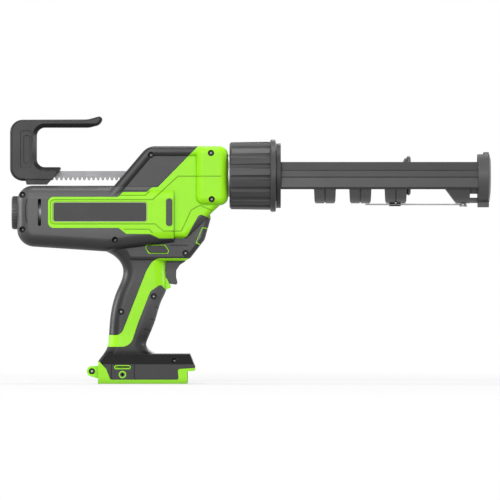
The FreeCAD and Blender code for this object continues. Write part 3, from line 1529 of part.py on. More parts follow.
flute = new_sketch(ring, "YZ_Plane", up="axis_height", out="ring_rear")
flute_turn = math.radians(size("ring_flute_turn"))
flute_place = "(ring_radius + ring_flute_radius - ring_flute_depth)"
circle(flute, f"{flute_place} * {math.sin(flute_turn):.6f}", f"{flute_place} * {math.cos(flute_turn):.6f}",
       "ring_flute_radius")
doc.recompute()
before = ring.Shape.Volume
flute_cut = ring.newObject("PartDesign::Pocket", "lock_ring_flute")
flute_cut.Profile = flute
flute_cut.setExpression("Length", bound("ring_length - ring_rim_length - 0.5"))
flute_cut.Reversed = True
doc.recompute()
if not flute_cut.Shape.Volume < before - 1:
    raise RuntimeError("lock ring flute cuts nothing")
patterned(ring, flute_cut, flute, "ring_flutes", "lock_ring_flutes")
keep("lock_ring", ring)

# Carriage
hub_body = turned("hub_body", [
    (HUB_BACK, "hub_bore"), (HUB_BACK, "hub_flange_radius"),
    (f"{RING_FRONT} - ring_lip - play", "hub_flange_radius"),
    (f"{RING_FRONT} - ring_lip - play", "hub_radius"),
    (f"{RING_FRONT} + play", "hub_radius"), (f"{RING_FRONT} + play", "collar_radius"),
    (f"{RING_FRONT} + play + collar_length", "collar_radius"),
    (f"{RING_FRONT} + play + collar_length", "hub_bore"),
], "axis_height")
COLLAR_FRONT = f"({RING_FRONT} + play + collar_length)"


def rail(name, sign):
    """Rail of the cradle with three faces outside."""
    corners = [
        ("rail_face - 2.6", "rail_half_height"), ("rail_face", "5.4"), ("rail_face", "0 - 2"),
        ("rail_outer", "2 - rail_half_height"), ("rail_outer - 0.8", "0 - rail_half_height"),
        ("rail_inner - 0.6", "0 - rail_half_height"), ("rail_inner - 0.6", "0 - 6"), ("rail_inner", "0"),
        ("rail_inner - 0.6", "5.4"), ("rail_inner - 4.6", "rail_half_height"),
    ]
    placed = [(f"{sign} * ({across_rail})", level) for across_rail, level in corners]
    return padded(name, "YZ_Plane", placed, f"carriage_front - {COLLAR_FRONT} + 1", up="axis_height",
                  out=f"{COLLAR_FRONT} - 1", middle=False)


rail_lines = []
for name, level in (("upper", "axis_height + 5.4"), ("lower", "axis_height - 2")):
    for side, low_y, high_y in (("right", "0 - 60", "rail_line_depth - rail_face"),
                                ("left", "rail_face - rail_line_depth", "60")):
        rail_lines.append(box(f"rail_line_{name}_{side}", (
            f"{COLLAR_FRONT} - 3", low_y, f"{level} - rail_line / 2"),
            ("carriage_front + 3", high_y, f"{level} + rail_line / 2")))
rail_bars = fuse("rail_bars", [rail("right_rail", "(0 - 1)"), rail("left_rail", "1")])
rail_pair = cut("rail_pair", rail_bars, fuse("rail_lines", rail_lines))


def tube(name, start, end, outer, inner):
    """Tube about the rod axis between two places along it."""
    return cut(name, cylinder(f"{name}_outer", "x", (start, "0", "axis_height"), outer, f"{end} - ({start})"),
               cylinder(f"{name}_inner", "x", (f"{start} - 1", "0", "axis_height"), inner,
                        f"{end} - ({start}) + 2"))


def side_plate(name, corners):
    return padded(name, "XZ_Plane", corners, "120", up="axis_height")


LOW_EDGE = "(0 - band_drop - 1)"
HIGH_EDGE = "(6 - rail_half_height)"
grooves = []
plates = []
for number in range(3):
    middle = f"(band_first + {number} * band_pitch)"
    grooves.append(tube(f"band_groove_{number + 1}", f"{middle} - band_groove / 2",
                        f"{middle} + band_groove / 2", "band_drop + 2", "band_drop - 1"))
    plates.append(side_plate(f"band_side_{number + 1}", [
        (f"{middle} - band_length / 2", HIGH_EDGE), (f"{middle} + band_length / 2", HIGH_EDGE),
        (f"{middle} + band_length / 2 - band_taper * 0.6", "2.2 - band_drop"),
        (f"{middle} + band_length / 2 - band_taper - 1.4", LOW_EDGE),
        (f"{middle} - band_length / 2 + band_taper + 1.4", LOW_EDGE),
        (f"{middle} - band_length / 2 + band_taper * 0.6", "2.2 - band_drop"),
    ]))
plates.append(side_plate("bracket_side", [
    ("bracket_rear", HIGH_EDGE), ("bracket_front", HIGH_EDGE), ("bracket_front", "0 - bar_drop"),
    ("carriage_front", "0 - bar_drop"), ("carriage_front", "0.4 - band_drop"),
    ("bracket_front", "0.4 - band_drop"), ("bracket_front", LOW_EDGE),
    ("bracket_rear + bracket_slope", LOW_EDGE), ("bracket_rear", "0 - rail_half_height"),
]))
band_tube = cut("band_tube", tube("band_blank", "band_first - band_pitch", "carriage_front", "band_drop",
                                  "band_drop - band_wall"), fuse("band_grooves", grooves))
bands = common("bands", [band_tube, fuse("band_plates", plates)])
bridge = common("bridge", [
    tube("bridge_tube", "bracket_front - 1", "carriage_front", "bridge_radius", "rail_inner"),
    side_plate("bridge_side", [
        ("bracket_front - 1", HIGH_EDGE), ("carriage_front", HIGH_EDGE),
        ("carriage_front", "0 - bridge_drop"), ("bracket_front - 1", "0 - bridge_drop"),
    ]),
])
rivet_hole = cylinder("rivet_hole", "z", ("rivet_x", "0", "axis_height - band_drop - 5"), "rivet_radius",
                      "band_wall + 10")
doc.recompute()
keep("carriage_frame", hub_body)
cradle_rails = rail_pair.Shape.cut(hub_body.Shape)
keep("cradle_rails", solid_feature("cradle_rails", Part.makeCompound(cradle_rails.Solids)))
cradle_straps = largest(bands.Shape.cut(rail_pair.Shape).cut(hub_body.Shape), 30)
bracket_rear = size("bracket_rear")
straps = [item for item in cradle_straps if item.CenterOfMass.x < bracket_rear]
if len(straps) != 3:
    raise RuntimeError("the cradle has not three bands")
keep("cradle_bands", solid_feature("cradle_bands", Part.makeCompound(straps)))
bracket_parts = [item for item in cradle_straps if item.CenterOfMass.x > bracket_rear]
bracket_parts += largest(bridge.Shape.cut(rail_pair.Shape), 30)
bracket = bracket_parts[0].fuse(bracket_parts[1:]).removeSplitter().cut(rivet_hole.Shape)
keep("cradle_bracket", solid_feature("cradle_bracket", Part.makeCompound(largest(bracket, 30))))

CAP_FRONT = "(carriage_front + cap_length)"
cap_turn = turned("cap_turn", [
    ("carriage_front", "cap_bore"), ("carriage_front", "cap_radius"),
    (f"{CAP_FRONT} - 2.6", "cap_radius"), (f"{CAP_FRONT} - 1.2", "cap_radius - 3.5"),
    (CAP_FRONT, "cap_radius - 12"), (CAP_FRONT, "0"),
    (f"{CAP_FRONT} - cap_front_wall", "0"), (f"{CAP_FRONT} - cap_front_wall", "cap_bore"),
], "axis_height")
cap_chin = box("cap_chin", (
    "carriage_front", "0 - cap_chin_half", "axis_height - cap_chin_drop"),
    (f"{CAP_FRONT} - 2", "cap_chin_half", "axis_height - cap_bore - 1"))
cap_mouth = box("cap_mouth", (
    "carriage_front - 5", "0 - cap_mouth_half", "axis_height + cap_bore - 7"),
    (f"{CAP_FRONT} + 5", "cap_mouth_half", "axis_height + cap_radius + 5"))
cap_slot = box("cap_slot", (
    "carriage_front - 5", "0 - nozzle_half", "axis_height"),
    (f"{CAP_FRONT} + 5", "nozzle_half", "axis_height + cap_radius + 5"))
cap_nozzle = cylinder("cap_nozzle", "x", ("carriage_front - 5", "0", "axis_height"), "nozzle_half",
                      "cap_length + 10")
cap_ledge = box("cap_ledge", (
    "carriage_front - 5", "0 - cap_radius - 5", "axis_height + cap_step_rise"),
    ("carriage_front + cap_step", "cap_radius + 5", "axis_height + cap_radius + 5"))
cap_solid = fuse("cap_solid", [cap_turn, cap_chin])
keep("front_cap", cut("front_cap", cap_solid, fuse(
    "cap_openings", [cap_mouth, cap_slot, cap_nozzle, cap_ledge])))

# Puncture wire
WIRE_LEVEL = "(axis_height - band_drop - play - wire_radius)"
keep("wire_rivet", fuse("wire_rivet", [
    cylinder("rivet_shank", "z", ("rivet_x", "0", f"{WIRE_LEVEL} - wire_radius - play"), "rivet_radius",
             f"axis_height - band_drop + band_wall - {WIRE_LEVEL} + wire_radius + play"),
    cylinder("rivet_cap", "z", ("rivet_x", "0", f"{WIRE_LEVEL} - wire_radius - play - rivet_head_height"),
             "rivet_head", "rivet_head_height"),
]))
wire_arm = cylinder("wire_arm", "x", ("rivet_x - wire_length", "0", WIRE_LEVEL), "wire_radius",
                    "wire_length - rivet_radius - 1")
wire_eye = cylinder("wire_eye_disc", "z", ("rivet_x", "0", f"{WIRE_LEVEL} - wire_radius - play / 3"),
                    "wire_eye", "2 * wire_radius + play * 2 / 3")
wire_bore = cylinder("wire_eye_bore", "z", ("rivet_x", "0", f"{WIRE_LEVEL} - 20"),
                     "rivet_radius + 0.1", "40")
keep("puncture_wire", cut("puncture_wire", fuse("wire_whole", [wire_arm, wire_eye]), wire_bore))
clip_block = box("clip_block", (
    "clip_x", "0 - clip_half_width", f"{WIRE_LEVEL} - wire_radius - play - clip_lip"),
    ("clip_x + clip_length", "clip_half_width", "axis_height - band_drop + 1"))
clip_slot = box("clip_slot", (
    "clip_x - 1", "0 - clip_half_width - 1", f"{WIRE_LEVEL} - wire_radius - play"),
    ("clip_x + clip_length + 1", "wire_radius + play", "axis_height - band_drop + 2"))
clip_seat = cylinder("clip_seat", "x", ("clip_x - 1", "0", "axis_height"), "band_drop", "clip_length + 2")
keep("wire_clip", cut("wire_clip", clip_block, fuse("clip_tools", [clip_slot, clip_seat])))

# Dial, switch, trigger, button, boards
dial = turned("speed_dial", [
    ("barrel_rear + dial_sink - play - dial_width", "0"),
    ("barrel_rear + dial_sink - play - dial_width", "dial_radius - 1.4"),
    ("barrel_rear + dial_sink - play - dial_width + 1.4", "dial_radius"),
    ("barrel_rear + dial_sink - play", "dial_radius"), ("barrel_rear + dial_sink - play", "dial_stem"),
    ("barrel_rear + wall + 2.4 + play", "dial_stem"), ("barrel_rear + wall + 2.4 + play", "0"),
], MOTOR_LEVEL)
ridge = new_sketch(dial, "YZ_Plane", up=MOTOR_LEVEL)
circle(ridge, "0", "dial_radius + dial_ridge_radius * 0.5", "dial_ridge_radius")
doc.recompute()
ridge_cut = pocketed(dial, ridge, "dial_ridge")
patterned(dial, ridge_cut, ridge, "dial_ridges", "dial_ridge_ring")
keep("speed_dial", dial)
keep("dial_potentiometer", turned("dial_potentiometer", [
    ("barrel_rear + wall + 2.4 + 2 * play", "0"), ("barrel_rear + wall + 2.4 + 2 * play", "pot_radius"),
    ("barrel_rear + wall + 2.4 + 2 * play + pot_length", "pot_radius"),
    ("barrel_rear + wall + 2.4 + 2 * play + pot_length", "0"),
], MOTOR_LEVEL))

SWITCH_TOP = "(axis_height - switch_top_drop)"
STEM_LEVEL = f"({SWITCH_TOP} - switch_height / 2)"
switch_block = box("switch_block", ("switch_rear", "0 - switch_half_width", f"{SWITCH_TOP} - switch_height"),
                   ("switch_front", "switch_half_width", SWITCH_TOP))
switch_bore = cylinder("switch_bore", "x", ("switch_front - trigger_travel - 7", "0", STEM_LEVEL),
                       "stem_radius + play", "trigger_travel + 10")
keep("switch_body", cut("switch_body", switch_block, switch_bore))

TRIGGER_TOP = "(axis_height - chin_drop)"
trigger_block = padded("trigger_block", "XZ_Plane", [
    ("grip_index_front - 2.5", "0.5"), ("grip_index_front + 19.5", "0.5"),
    ("grip_index_front + 20.5", "0 - 0.4"),
    ("grip_index_front + 14.5", "0 - 4.2"), ("grip_index_front + 10.6", "0 - 10"),
    ("grip_index_front + 10.2", "0 - 17"), ("grip_index_front + 11.8", "0 - 23.6"),
    ("grip_index_front + 10.6", "0 - 25.8"), ("grip_index_front + 4", "0 - 25"),
    ("grip_index_front - 2.5", "0 - 24"),
], "2 * trigger_half_width", up=TRIGGER_TOP)
stem = cylinder("trigger_stem", "x", ("switch_front - 5", "0", STEM_LEVEL), "stem_radius",
                "grip_index_front - 2 - switch_front + 5")
keep("trigger", fuse("trigger", [trigger_block, stem]))

button_end = size("button_half_length")
button_stop = size("button_flange_half")
button_bar = prism(button_outline(0), -button_end, button_end)
keep("lock_button", solid_feature("lock_button", button_bar.fuse(
    prism(button_outline(size("button_flange")), -button_stop, button_stop))))

ROOF = "(channel_height + wall)"
keep("control_board", box("control_board", ("0 - 34", "0 - 15", f"{ROOF} + play"),
                          ("4", "15", f"{ROOF} + play + board_thickness")))
keep("light_board", box("light_board", ("56", "0 - 8", "axis_height - 76"),
                        ("56 + board_thickness", "8", "axis_height - 64")))
keep("terminal_block", box("terminal_block", (
    "channel_rear + play", "0 - terminal_half_width", "channel_height - play - terminal_height"),
    ("channel_rear + play + terminal_length", "terminal_half_width", "channel_height - play")))
blades = []
for number in range(4):
    middle = f"({number} - 1.5) * blade_pitch"
    blades.append(box(f"blade_{number + 1}", (
        "channel_rear + play + terminal_length", f"{middle} - 0.4",
        "channel_height - play - terminal_height + 2"),
        ("channel_rear + play + terminal_length + 15", f"{middle} + 0.4",
         "channel_height - play - 2.5")))
keep("terminal_blades", group("terminal_blades", blades))

inserts = []
for side, start in (("right", "0 - foot_half_width + 0.2"),
                    ("left", "foot_half_width - 0.2 - insert_length")):
    sleeve = cylinder(f"insert_{side}", "y", ("hook_x", start, "hook_level"), "insert_radius",
                      "insert_length")
    hole = cylinder(f"insert_bore_{side}", "y", ("hook_x", "0 - 90", "hook_level"), "insert_bore", "180")
    inserts.append(cut(f"hook_insert_{side}", sleeve, hole))
keep("belt_hook_inserts", group("belt_hook_inserts", inserts))

doc.recompute()
for item in doc.Objects:
    if "Invalid" in item.State or "Error" in item.State:
        raise RuntimeError(f"{item.Label}: {item.State}")
for label, item in pieces.items():
    shape = item.Shape
    if shape.isNull() or not shape.isValid() or not shape.Solids:
        raise RuntimeError(f"{label} has no valid solid")
    shape.exportStep(f"parts/{label}.step")
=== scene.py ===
import json
import math

import bmesh
import bpy
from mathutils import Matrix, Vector
from mathutils.bvhtree import BVHTree


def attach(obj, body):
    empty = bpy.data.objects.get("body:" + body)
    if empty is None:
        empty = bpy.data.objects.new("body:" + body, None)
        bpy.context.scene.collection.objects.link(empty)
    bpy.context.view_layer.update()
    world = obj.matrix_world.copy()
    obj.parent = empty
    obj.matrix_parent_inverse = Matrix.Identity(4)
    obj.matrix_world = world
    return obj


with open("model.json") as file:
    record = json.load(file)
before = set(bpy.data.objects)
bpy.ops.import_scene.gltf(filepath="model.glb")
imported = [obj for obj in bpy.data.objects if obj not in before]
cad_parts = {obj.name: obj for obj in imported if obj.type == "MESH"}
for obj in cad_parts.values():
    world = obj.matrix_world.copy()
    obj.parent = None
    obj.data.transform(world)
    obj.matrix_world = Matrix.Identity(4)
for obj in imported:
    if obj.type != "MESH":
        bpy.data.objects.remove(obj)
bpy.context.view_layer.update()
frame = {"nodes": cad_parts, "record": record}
nodes = frame["nodes"]

WHITE = (1.0, 1.0, 1.0, 1.0)
# Sockets of the Mix node when it mixes colours.
MIX_SHARE, MIX_FIRST, MIX_SECOND, MIX_RESULT = 0, 6, 7, 2

# Colours are written as the sRGB values seen on the object.


def srgb(red, green, blue):
    linear = []
    for value in (red, green, blue):
        part = value / 255
        linear.append(part / 12.92 if part <= 0.04045 else ((part + 0.055) / 1.055) ** 2.4)
    return (*linear, 1.0)


def grey_tone(value):
    """Dark grey of the moulded pieces, a touch cool."""
    return srgb(value, value, value + 1)


def shade(colour, factor):
    return (*(min(1.0, part * factor) for part in colour[:3]), 1.0)


class Finish:
    """Material with a principled surface and helpers for its procedural detail."""

    def __init__(self, name):
        self.material = bpy.data.materials.new(name)
        self.material.use_nodes = True
        self.tree = self.material.node_tree
        self.tree.nodes.clear()
        output = self.add("ShaderNodeOutputMaterial")
        self.surface = self.add("ShaderNodeBsdfPrincipled")
        self.join(self.surface, "BSDF", output, "Surface")
        self.place = self.add("ShaderNodeTexCoord")

    def add(self, kind, **settings):
        node = self.tree.nodes.new(kind)
        for name, value in settings.items():
            setattr(node, name, value)
        return node

    def join(self, source, out_name, target, in_name):
        self.tree.links.new(source.outputs[out_name], target.inputs[in_name])

    def noise(self, scale, detail, stretch=None):
        node = self.add("ShaderNodeTexNoise")
        node.inputs["Scale"].default_value = scale
        node.inputs["Detail"].default_value = detail
        if stretch:
            mapping = self.add("ShaderNodeMapping")
            mapping.inputs["Scale"].default_value = stretch
            self.join(self.place, "Object", mapping, "Vector")
            self.join(mapping, "Vector", node, "Vector")
        else:
            self.join(self.place, "Object", node, "Vector")
        return node

    def tint(self, source, out_name, colour, vary):
        """Colour that wanders a little to both sides."""
        node = self.add("ShaderNodeValToRGB")
        dark, light = node.color_ramp.elements
        dark.position = 0.3
        dark.color = shade(colour, 1 - vary)
        light.position = 0.7
        light.color = shade(colour, 1 + vary)
        self.join(source, out_name, node, "Fac")
        return node.outputs["Color"]

    def spread(self, source, out_name, low, high):
        node = self.add("ShaderNodeMapRange")
        node.inputs["To Min"].default_value = low
        node.inputs["To Max"].default_value = high
        self.join(source, out_name, node, "Value")
        return node

    def soften(self, round_edge):
        """Normals rounded along the edges, and how far they differ from the flat ones."""
        soft = self.add("ShaderNodeBevel", samples=4)
        soft.inputs["Radius"].default_value = round_edge
        flat = self.add("ShaderNodeNewGeometry")
        match = self.add("ShaderNodeVectorMath", operation="DOT_PRODUCT")
        self.join(soft, "Normal", match, "Vector")
        self.tree.links.new(flat.outputs["Normal"], match.inputs[1])
        edge = self.add("ShaderNodeMapRange")
        edge.inputs["From Min"].default_value = 0.995
        edge.inputs["From Max"].default_value = 0.85
        self.join(match, "Value", edge, "Value")
        return soft, edge

    def paint_edge_highlight(self, edge, base, colour):
        """Painted highlight: another colour along the edges, lighter where light catches them."""
        node = self.add("ShaderNodeMix", data_type="RGBA")
        self.tree.links.new(edge.outputs["Result"], node.inputs[MIX_SHARE])
        self.tree.links.new(base, node.inputs[MIX_FIRST])
        node.inputs[MIX_SECOND].default_value = colour
        return node.outputs[MIX_RESULT]

    def multiply(self, base, by):
        node = self.add("ShaderNodeMix", data_type="RGBA", blend_type="MULTIPLY")
        node.inputs[MIX_SHARE].default_value = 1.0
        self.tree.links.new(base, node.inputs[MIX_FIRST])
        self.tree.links.new(by, node.inputs[MIX_SECOND])
        return node.outputs[MIX_RESULT]

    def paint_light_by_height(self, base, levels):
        """Painted light and shade by height: colour that gets lighter or darker upwards where light or shade
        falls; the levels are a list of (height in metres, share of the colour).
        """
        split = self.add("ShaderNodeSeparateXYZ")
        self.join(self.place, "Object", split, "Vector")
        low = levels[0][0]
        span = levels[-1][0] - low
        height = self.add("ShaderNodeMapRange")
        height.inputs["From Min"].default_value = low
        height.inputs["From Max"].default_value = levels[-1][0]
        self.join(split, "Z", height, "Value")
        painted_tone = self.add("ShaderNodeValToRGB")
        elements = painted_tone.color_ramp.elements
        while len(elements) < len(levels):
            elements.new(0.5)
        for element, (level, share) in zip(elements, levels):
            element.position = (level - low) / span
            element.color = (share, share, share, 1.0)
        self.join(height, "Result", painted_tone, "Fac")
        return self.multiply(base, painted_tone.outputs["Color"])

    def paint_shade_in_hollows(self, base, reach, floor):
        """Painted shade: colour that darkens in corners and gaps, where shade falls."""
        occlusion_shade = self.add("ShaderNodeAmbientOcclusion", samples=8)
        occlusion_shade.inputs["Distance"].default_value = reach
        share = self.spread(occlusion_shade, "AO", floor, 1.0)
        share.inputs["From Min"].default_value = 0.35
        share.inputs["From Max"].default_value = 0.95
        return self.multiply(base, share.outputs["Result"])

    def relief(self, source, out_name, strength, depth, soft):
        """Bump over normals that are softened along the edges."""
        bump = self.add("ShaderNodeBump")
        bump.inputs["Strength"].default_value = strength
        bump.inputs["Distance"].default_value = depth
        self.join(source, out_name, bump, "Height")
        self.join(soft, "Normal", bump, "Normal")
        self.join(bump, "Normal", self.surface, "Normal")


def moulded(name, colour, rough, grain, strength, vary, round_edge=0.0007, edge_highlight=1.45, hollow_shade=0.25, gloss=0.25,
            levels=None):
    """Moulded plastic or rubber with a fine spark-eroded grain and slight unevenness, with a painted
    highlight along the edges, painted shade in corners and gaps, and painted light and shade by height where
    levels are given.
    """
    finish = Finish(name)
    finish.surface.inputs["Specular IOR Level"].default_value = gloss
    fine = finish.noise(grain, 4.0)
    broad = finish.noise(38.0, 5.0)
    soft, edge = finish.soften(round_edge)
    base = finish.tint(broad, "Fac", colour, vary)
    # Painted light and shade that change with height, where levels are given.
    if levels:
        base = finish.paint_light_by_height(base, levels)
    # Painted highlight along the edges.
    base = finish.paint_edge_highlight(edge, base, shade(colour, edge_highlight))
    # Painted shade in corners and gaps.
    base = finish.paint_shade_in_hollows(base, 0.009, hollow_shade)
    finish.tree.links.new(base, finish.surface.inputs["Base Color"])
    roughness = finish.spread(broad, "Fac", rough - 0.07, rough + 0.07)
    finish.join(roughness, "Result", finish.surface, "Roughness")
    finish.relief(fine, "Fac", strength, 0.00012, soft)
    return finish.material


def plastic(name, grey, rough, strength, **more):
    """Hard dark plastic."""
    return moulded(name, grey_tone(grey), rough, 1500.0, strength, 0.06, **more)


def rubber(name, grey, rough, **more):
    """Soft dark skin."""
    return moulded(name, grey_tone(grey), rough, 1300.0, 0.3, 0.06, 0.0008, **more)


def metal(name, colour, rough, stretch, strength=0.12):
    """Metal with drawn or cast texture; stretch is the scale of its noise along X, Y and Z."""
    finish = Finish(name)
    lines = finish.noise(1.0, 5.0, stretch)
    broad = finish.noise(60.0, 4.0)
    soft, edge = finish.soften(0.0004)
    # Painted highlight: a lighter colour along the edges.
    base = finish.paint_edge_highlight(edge, finish.tint(broad, "Fac", colour, 0.08), shade(colour, 1.25))
    finish.tree.links.new(base, finish.surface.inputs["Base Color"])
    roughness = finish.spread(lines, "Fac", rough - 0.1, rough + 0.12)
    finish.join(roughness, "Result", finish.surface, "Roughness")
    finish.surface.inputs["Metallic"].default_value = 1.0
    finish.relief(lines, "Fac", strength, 0.00008, soft)
    return finish.material


def clear(name, colour, rough):
    """Frosted clear plastic."""
    finish = Finish(name)
    fine = finish.noise(900.0, 3.0)
    roughness = finish.spread(fine, "Fac", rough - 0.05, rough + 0.1)
    finish.surface.inputs["Base Color"].default_value = colour
    finish.surface.inputs["Transmission Weight"].default_value = 0.6
    finish.join(roughness, "Result", finish.surface, "Roughness")
    soft = finish.soften(0.0004)[0]
    finish.relief(fine, "Fac", 0.1, 0.0001, soft)
    return finish.material


DRAWN = (60.0, 1500.0, 1500.0)
CAST = (700.0, 700.0, 700.0)
CUT = (900.0, 900.0, 900.0)

finishes = {
    "green_shell": moulded("green_shell", srgb(160, 242, 26), 0.42, 1700.0, 0.12, 0.03, edge_highlight=1.12,
                           hollow_shade=0.5),
    "dark_overmould": rubber("dark_overmould", 46, 0.4, gloss=0.35),
    "label_film": moulded("label_film", grey_tone(52), 0.45, 2600.0, 0.06, 0.04, 0.0003),
    "dark_plastic": plastic("dark_plastic", 52, 0.45, 0.22),
    "clear_window": clear("clear_window", srgb(70, 72, 72), 0.25),
    "zinc_steel": metal("zinc_steel", srgb(150, 150, 152), 0.5, DRAWN),
    "gear_steel": metal("gear_steel", srgb(140, 140, 142), 0.38, CUT),
    "cast_aluminium": metal("cast_aluminium", srgb(176, 178, 180), 0.55, CAST, 0.3),
    "bronze": metal("bronze", srgb(190, 140, 80), 0.4, CUT),
    "circuit_board": moulded("circuit_board", srgb(24, 82, 48), 0.45, 700.0, 0.15, 0.1),
}

# Pieces of the same stuff with another tone; the foot and motor overmoulds also get painted light and shade
# that change with height.
FOOT_PAINTED_LIGHT = [(0.0205, 1.0), (0.0215, 0.08), (0.0335, 0.08), (0.037, 0.7), (0.044, 0.7), (0.052, 0.65),
              (0.069, 1.35), (0.089, 1.7)]
MOTOR_PAINTED_LIGHT = [(0.05, 0.3), (0.075, 0.3), (0.11, 0.7), (0.13, 0.7), (0.145, 0.8), (0.158, 1.1),
               (0.166, 1.8), (0.21, 2.4)]
foot_finish = rubber("foot_overmould", 67, 0.4, gloss=0.14, levels=FOOT_PAINTED_LIGHT)
ramp_finish = rubber("ramp_cover", 38, 0.38, gloss=0.32)
motor_finish = rubber("motor_overmould", 46, 0.4, gloss=0.35, levels=MOTOR_PAINTED_LIGHT)
own_finishes = {
    "right_ramp_cover": ramp_finish,
    "left_ramp_cover": ramp_finish,
    "right_motor_overmould": motor_finish,
    "left_motor_overmould": motor_finish,
    "pull_handle": plastic("pull_handle", 33, 0.4, 0.22),
    "lock_ring": plastic("lock_ring", 70, 0.38, 0.18, gloss=0.2),
    "cradle_rails": plastic("cradle_rails", 38, 0.4, 0.2, gloss=0.42),
    "cradle_bands": plastic("cradle_bands", 80, 0.36, 0.2, round_edge=0.0022, gloss=0.4),
    "cradle_bracket": plastic("cradle_bracket", 78, 0.4, 0.2, round_edge=0.0014, gloss=0.35),
    "front_cap": plastic("front_cap", 76, 0.4, 0.2, round_edge=0.0014, gloss=0.35),
    "speed_dial": plastic("speed_dial", 72, 0.4, 0.2, round_edge=0.0012, gloss=0.3),
    "trigger": plastic("trigger", 55, 0.4, 0.2, round_edge=0.0012, gloss=0.3),
    "right_foot_overmould": foot_finish,
    "left_foot_overmould": foot_finish,
    "nose_spigot": metal("pale_spigot", srgb(222, 224, 222), 0.6, CAST, 0.2),
    "piston_plate": metal("piston_steel", srgb(72, 72, 74), 0.5, CUT),
    "rack_bar": metal("rack_steel", srgb(122, 122, 124), 0.55, DRAWN),
    "belt_hook_inserts": metal("dark_insert", srgb(74, 76, 74), 0.5, CUT),
}

for row in frame["record"]["subparts"]:
    piece = nodes[row["node"]]
    piece.data.materials.clear()
    piece.data.materials.append(own_finishes.get(row["node"], finishes[row["material_slot"]]))


def add_piece(name, mesh, material, body):
    bmesh.ops.recalc_face_normals(mesh, faces=mesh.faces)
    data = bpy.data.meshes.new(name)
    mesh.to_mesh(data)
    mesh.free()
    data.materials.append(material)
    for face in data.polygons:
        face.use_smooth = False
    piece = bpy.data.objects.new(name, data)
    bpy.context.scene.collection.objects.link(piece)
    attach(piece, body)


def band(mesh, first, second):
    """Quads between two closed loops with the same number of points."""
    count = len(first)
    for number in range(count):
        after = (number + 1) % count
        mesh.faces.new((first[number], first[after], second[after], second[number]))


# Painted shadow: black sleeves and collars of the screws in their wells, standing for the shade in the deep
# wells; painted glint: the bright drive in the middle.
RIGHT_SKIN = ("right_housing", "right_motor_overmould", "right_ramp_cover", "right_foot_overmould")
OUTSIDE = 0.2
ROD_AXIS = 0.227
SCREW_HEAD = 0.0026
WELL = 0.0034
WELL_SKIN = 0.0037
SLEEVE_OUTER = WELL - 0.00012
SLEEVE_INNER = WELL - 0.0005
DRIVE = 0.0012
DRIVE_LOBES = 6
LOBE_SWELL = 0.16
OVERLAP = 0.0001
# Each screw has its place along X, its height, and the depth of its seat from the mid-plane.
SCREWS = [
    (-0.131, ROD_AXIS - 0.021, 0.012), (-0.131, ROD_AXIS - 0.059, 0.012), (-0.030, ROD_AXIS - 0.0703, 0.016),
    (0.0092, ROD_AXIS + 0.0223, 0.020), (0.0746, ROD_AXIS + 0.0244, 0.026), (0.0754, ROD_AXIS - 0.026, 0.026),
    (0.0468, ROD_AXIS - 0.0848, 0.013), (0.012, ROD_AXIS - 0.132, 0.010), (-0.0235, ROD_AXIS - 0.1488, 0.010),
    (0.0348, 0.025, 0.020), (-0.0556, 0.0132, 0.005),
]


def well_rim(skins, x, z, steps=24):
    """Depth at which the skin round a screw well starts, taken where it lies deepest."""
    deepest = None
    for number in range(steps):
        angle = math.tau * number / steps
        place = Vector((x + WELL_SKIN * math.cos(angle), -OUTSIDE, z + WELL_SKIN * math.sin(angle)))
        hits = [skin.ray_cast(place, Vector((0, 1, 0))) for skin in skins]
        depths = [hit[0].y for hit in hits if hit[0] is not None]
        if depths and (deepest is None or min(depths) > deepest):
            deepest = min(depths)
    return deepest


def lathe(mesh, profile, x, z, lobes=(), steps=48):
    """Rings of quads turned about a line along Y; profile is (radius, y), and those in lobes are lobed."""
    rings = []
    for radius, y in profile:
        ring = []
        for number in range(steps):
            angle = math.tau * number / steps
            swell = 1.0
            if (radius, y) in lobes:
                swell = 1.0 + LOBE_SWELL * math.cos(DRIVE_LOBES * angle)
            ring.append(mesh.verts.new((x + swell * radius * math.cos(angle), y,
                                        z + swell * radius * math.sin(angle))))
        rings.append(ring)
    for first, second in zip(rings, rings[1:]):
        band(mesh, first, second)
    return rings


# Painted shadow in black, for the screw wells and the slot floors; painted glint in bright grey, for the
# screw drives.
painted_shadow_black = moulded("well_painted_shadow", grey_tone(20), 0.5, 2000.0, 0.1, 0.1, 0.0002, edge_highlight=1.2)
painted_glint = moulded("drive_painted_glint", grey_tone(225), 0.35, 2000.0, 0.05, 0.05, 0.0002, edge_highlight=1.0, hollow_shade=0.6)
depsgraph = bpy.context.evaluated_depsgraph_get()
skins = [BVHTree.FromObject(nodes[name], depsgraph) for name in RIGHT_SKIN]
sleeves = bmesh.new()
drives = bmesh.new()
for x, z, seat in SCREWS:
    head = -seat - SCREW_HEAD
    root = head - OVERLAP
    top = min(well_rim(skins, x, z) + 0.0003, head - 0.0008)
    face = min(head - 0.0002, max(top + 0.0012, head - 0.0016))
    socket = [(DRIVE, face + 0.0002), (DRIVE, root)]
    sleeve = [
        (SLEEVE_OUTER, root), (SLEEVE_OUTER, top), (SLEEVE_INNER, top + 0.0004), (SLEEVE_INNER, face),
        (DRIVE + 0.0003, face),
    ]
    lathe(sleeves, sleeve + socket, x, z, lobes=socket)
    dome = [(0.0011, root), (0.00105, face + 0.0001), (0.0008, face - 0.0002), (0.0004, face - 0.00035)]
    rings = lathe(drives, dome, x, z, steps=24)
    drives.faces.new(rings[-1])
add_piece("screw_sleeves", sleeves, painted_shadow_black, "housing")
add_piece("screw_drives", drives, painted_glint, "housing")

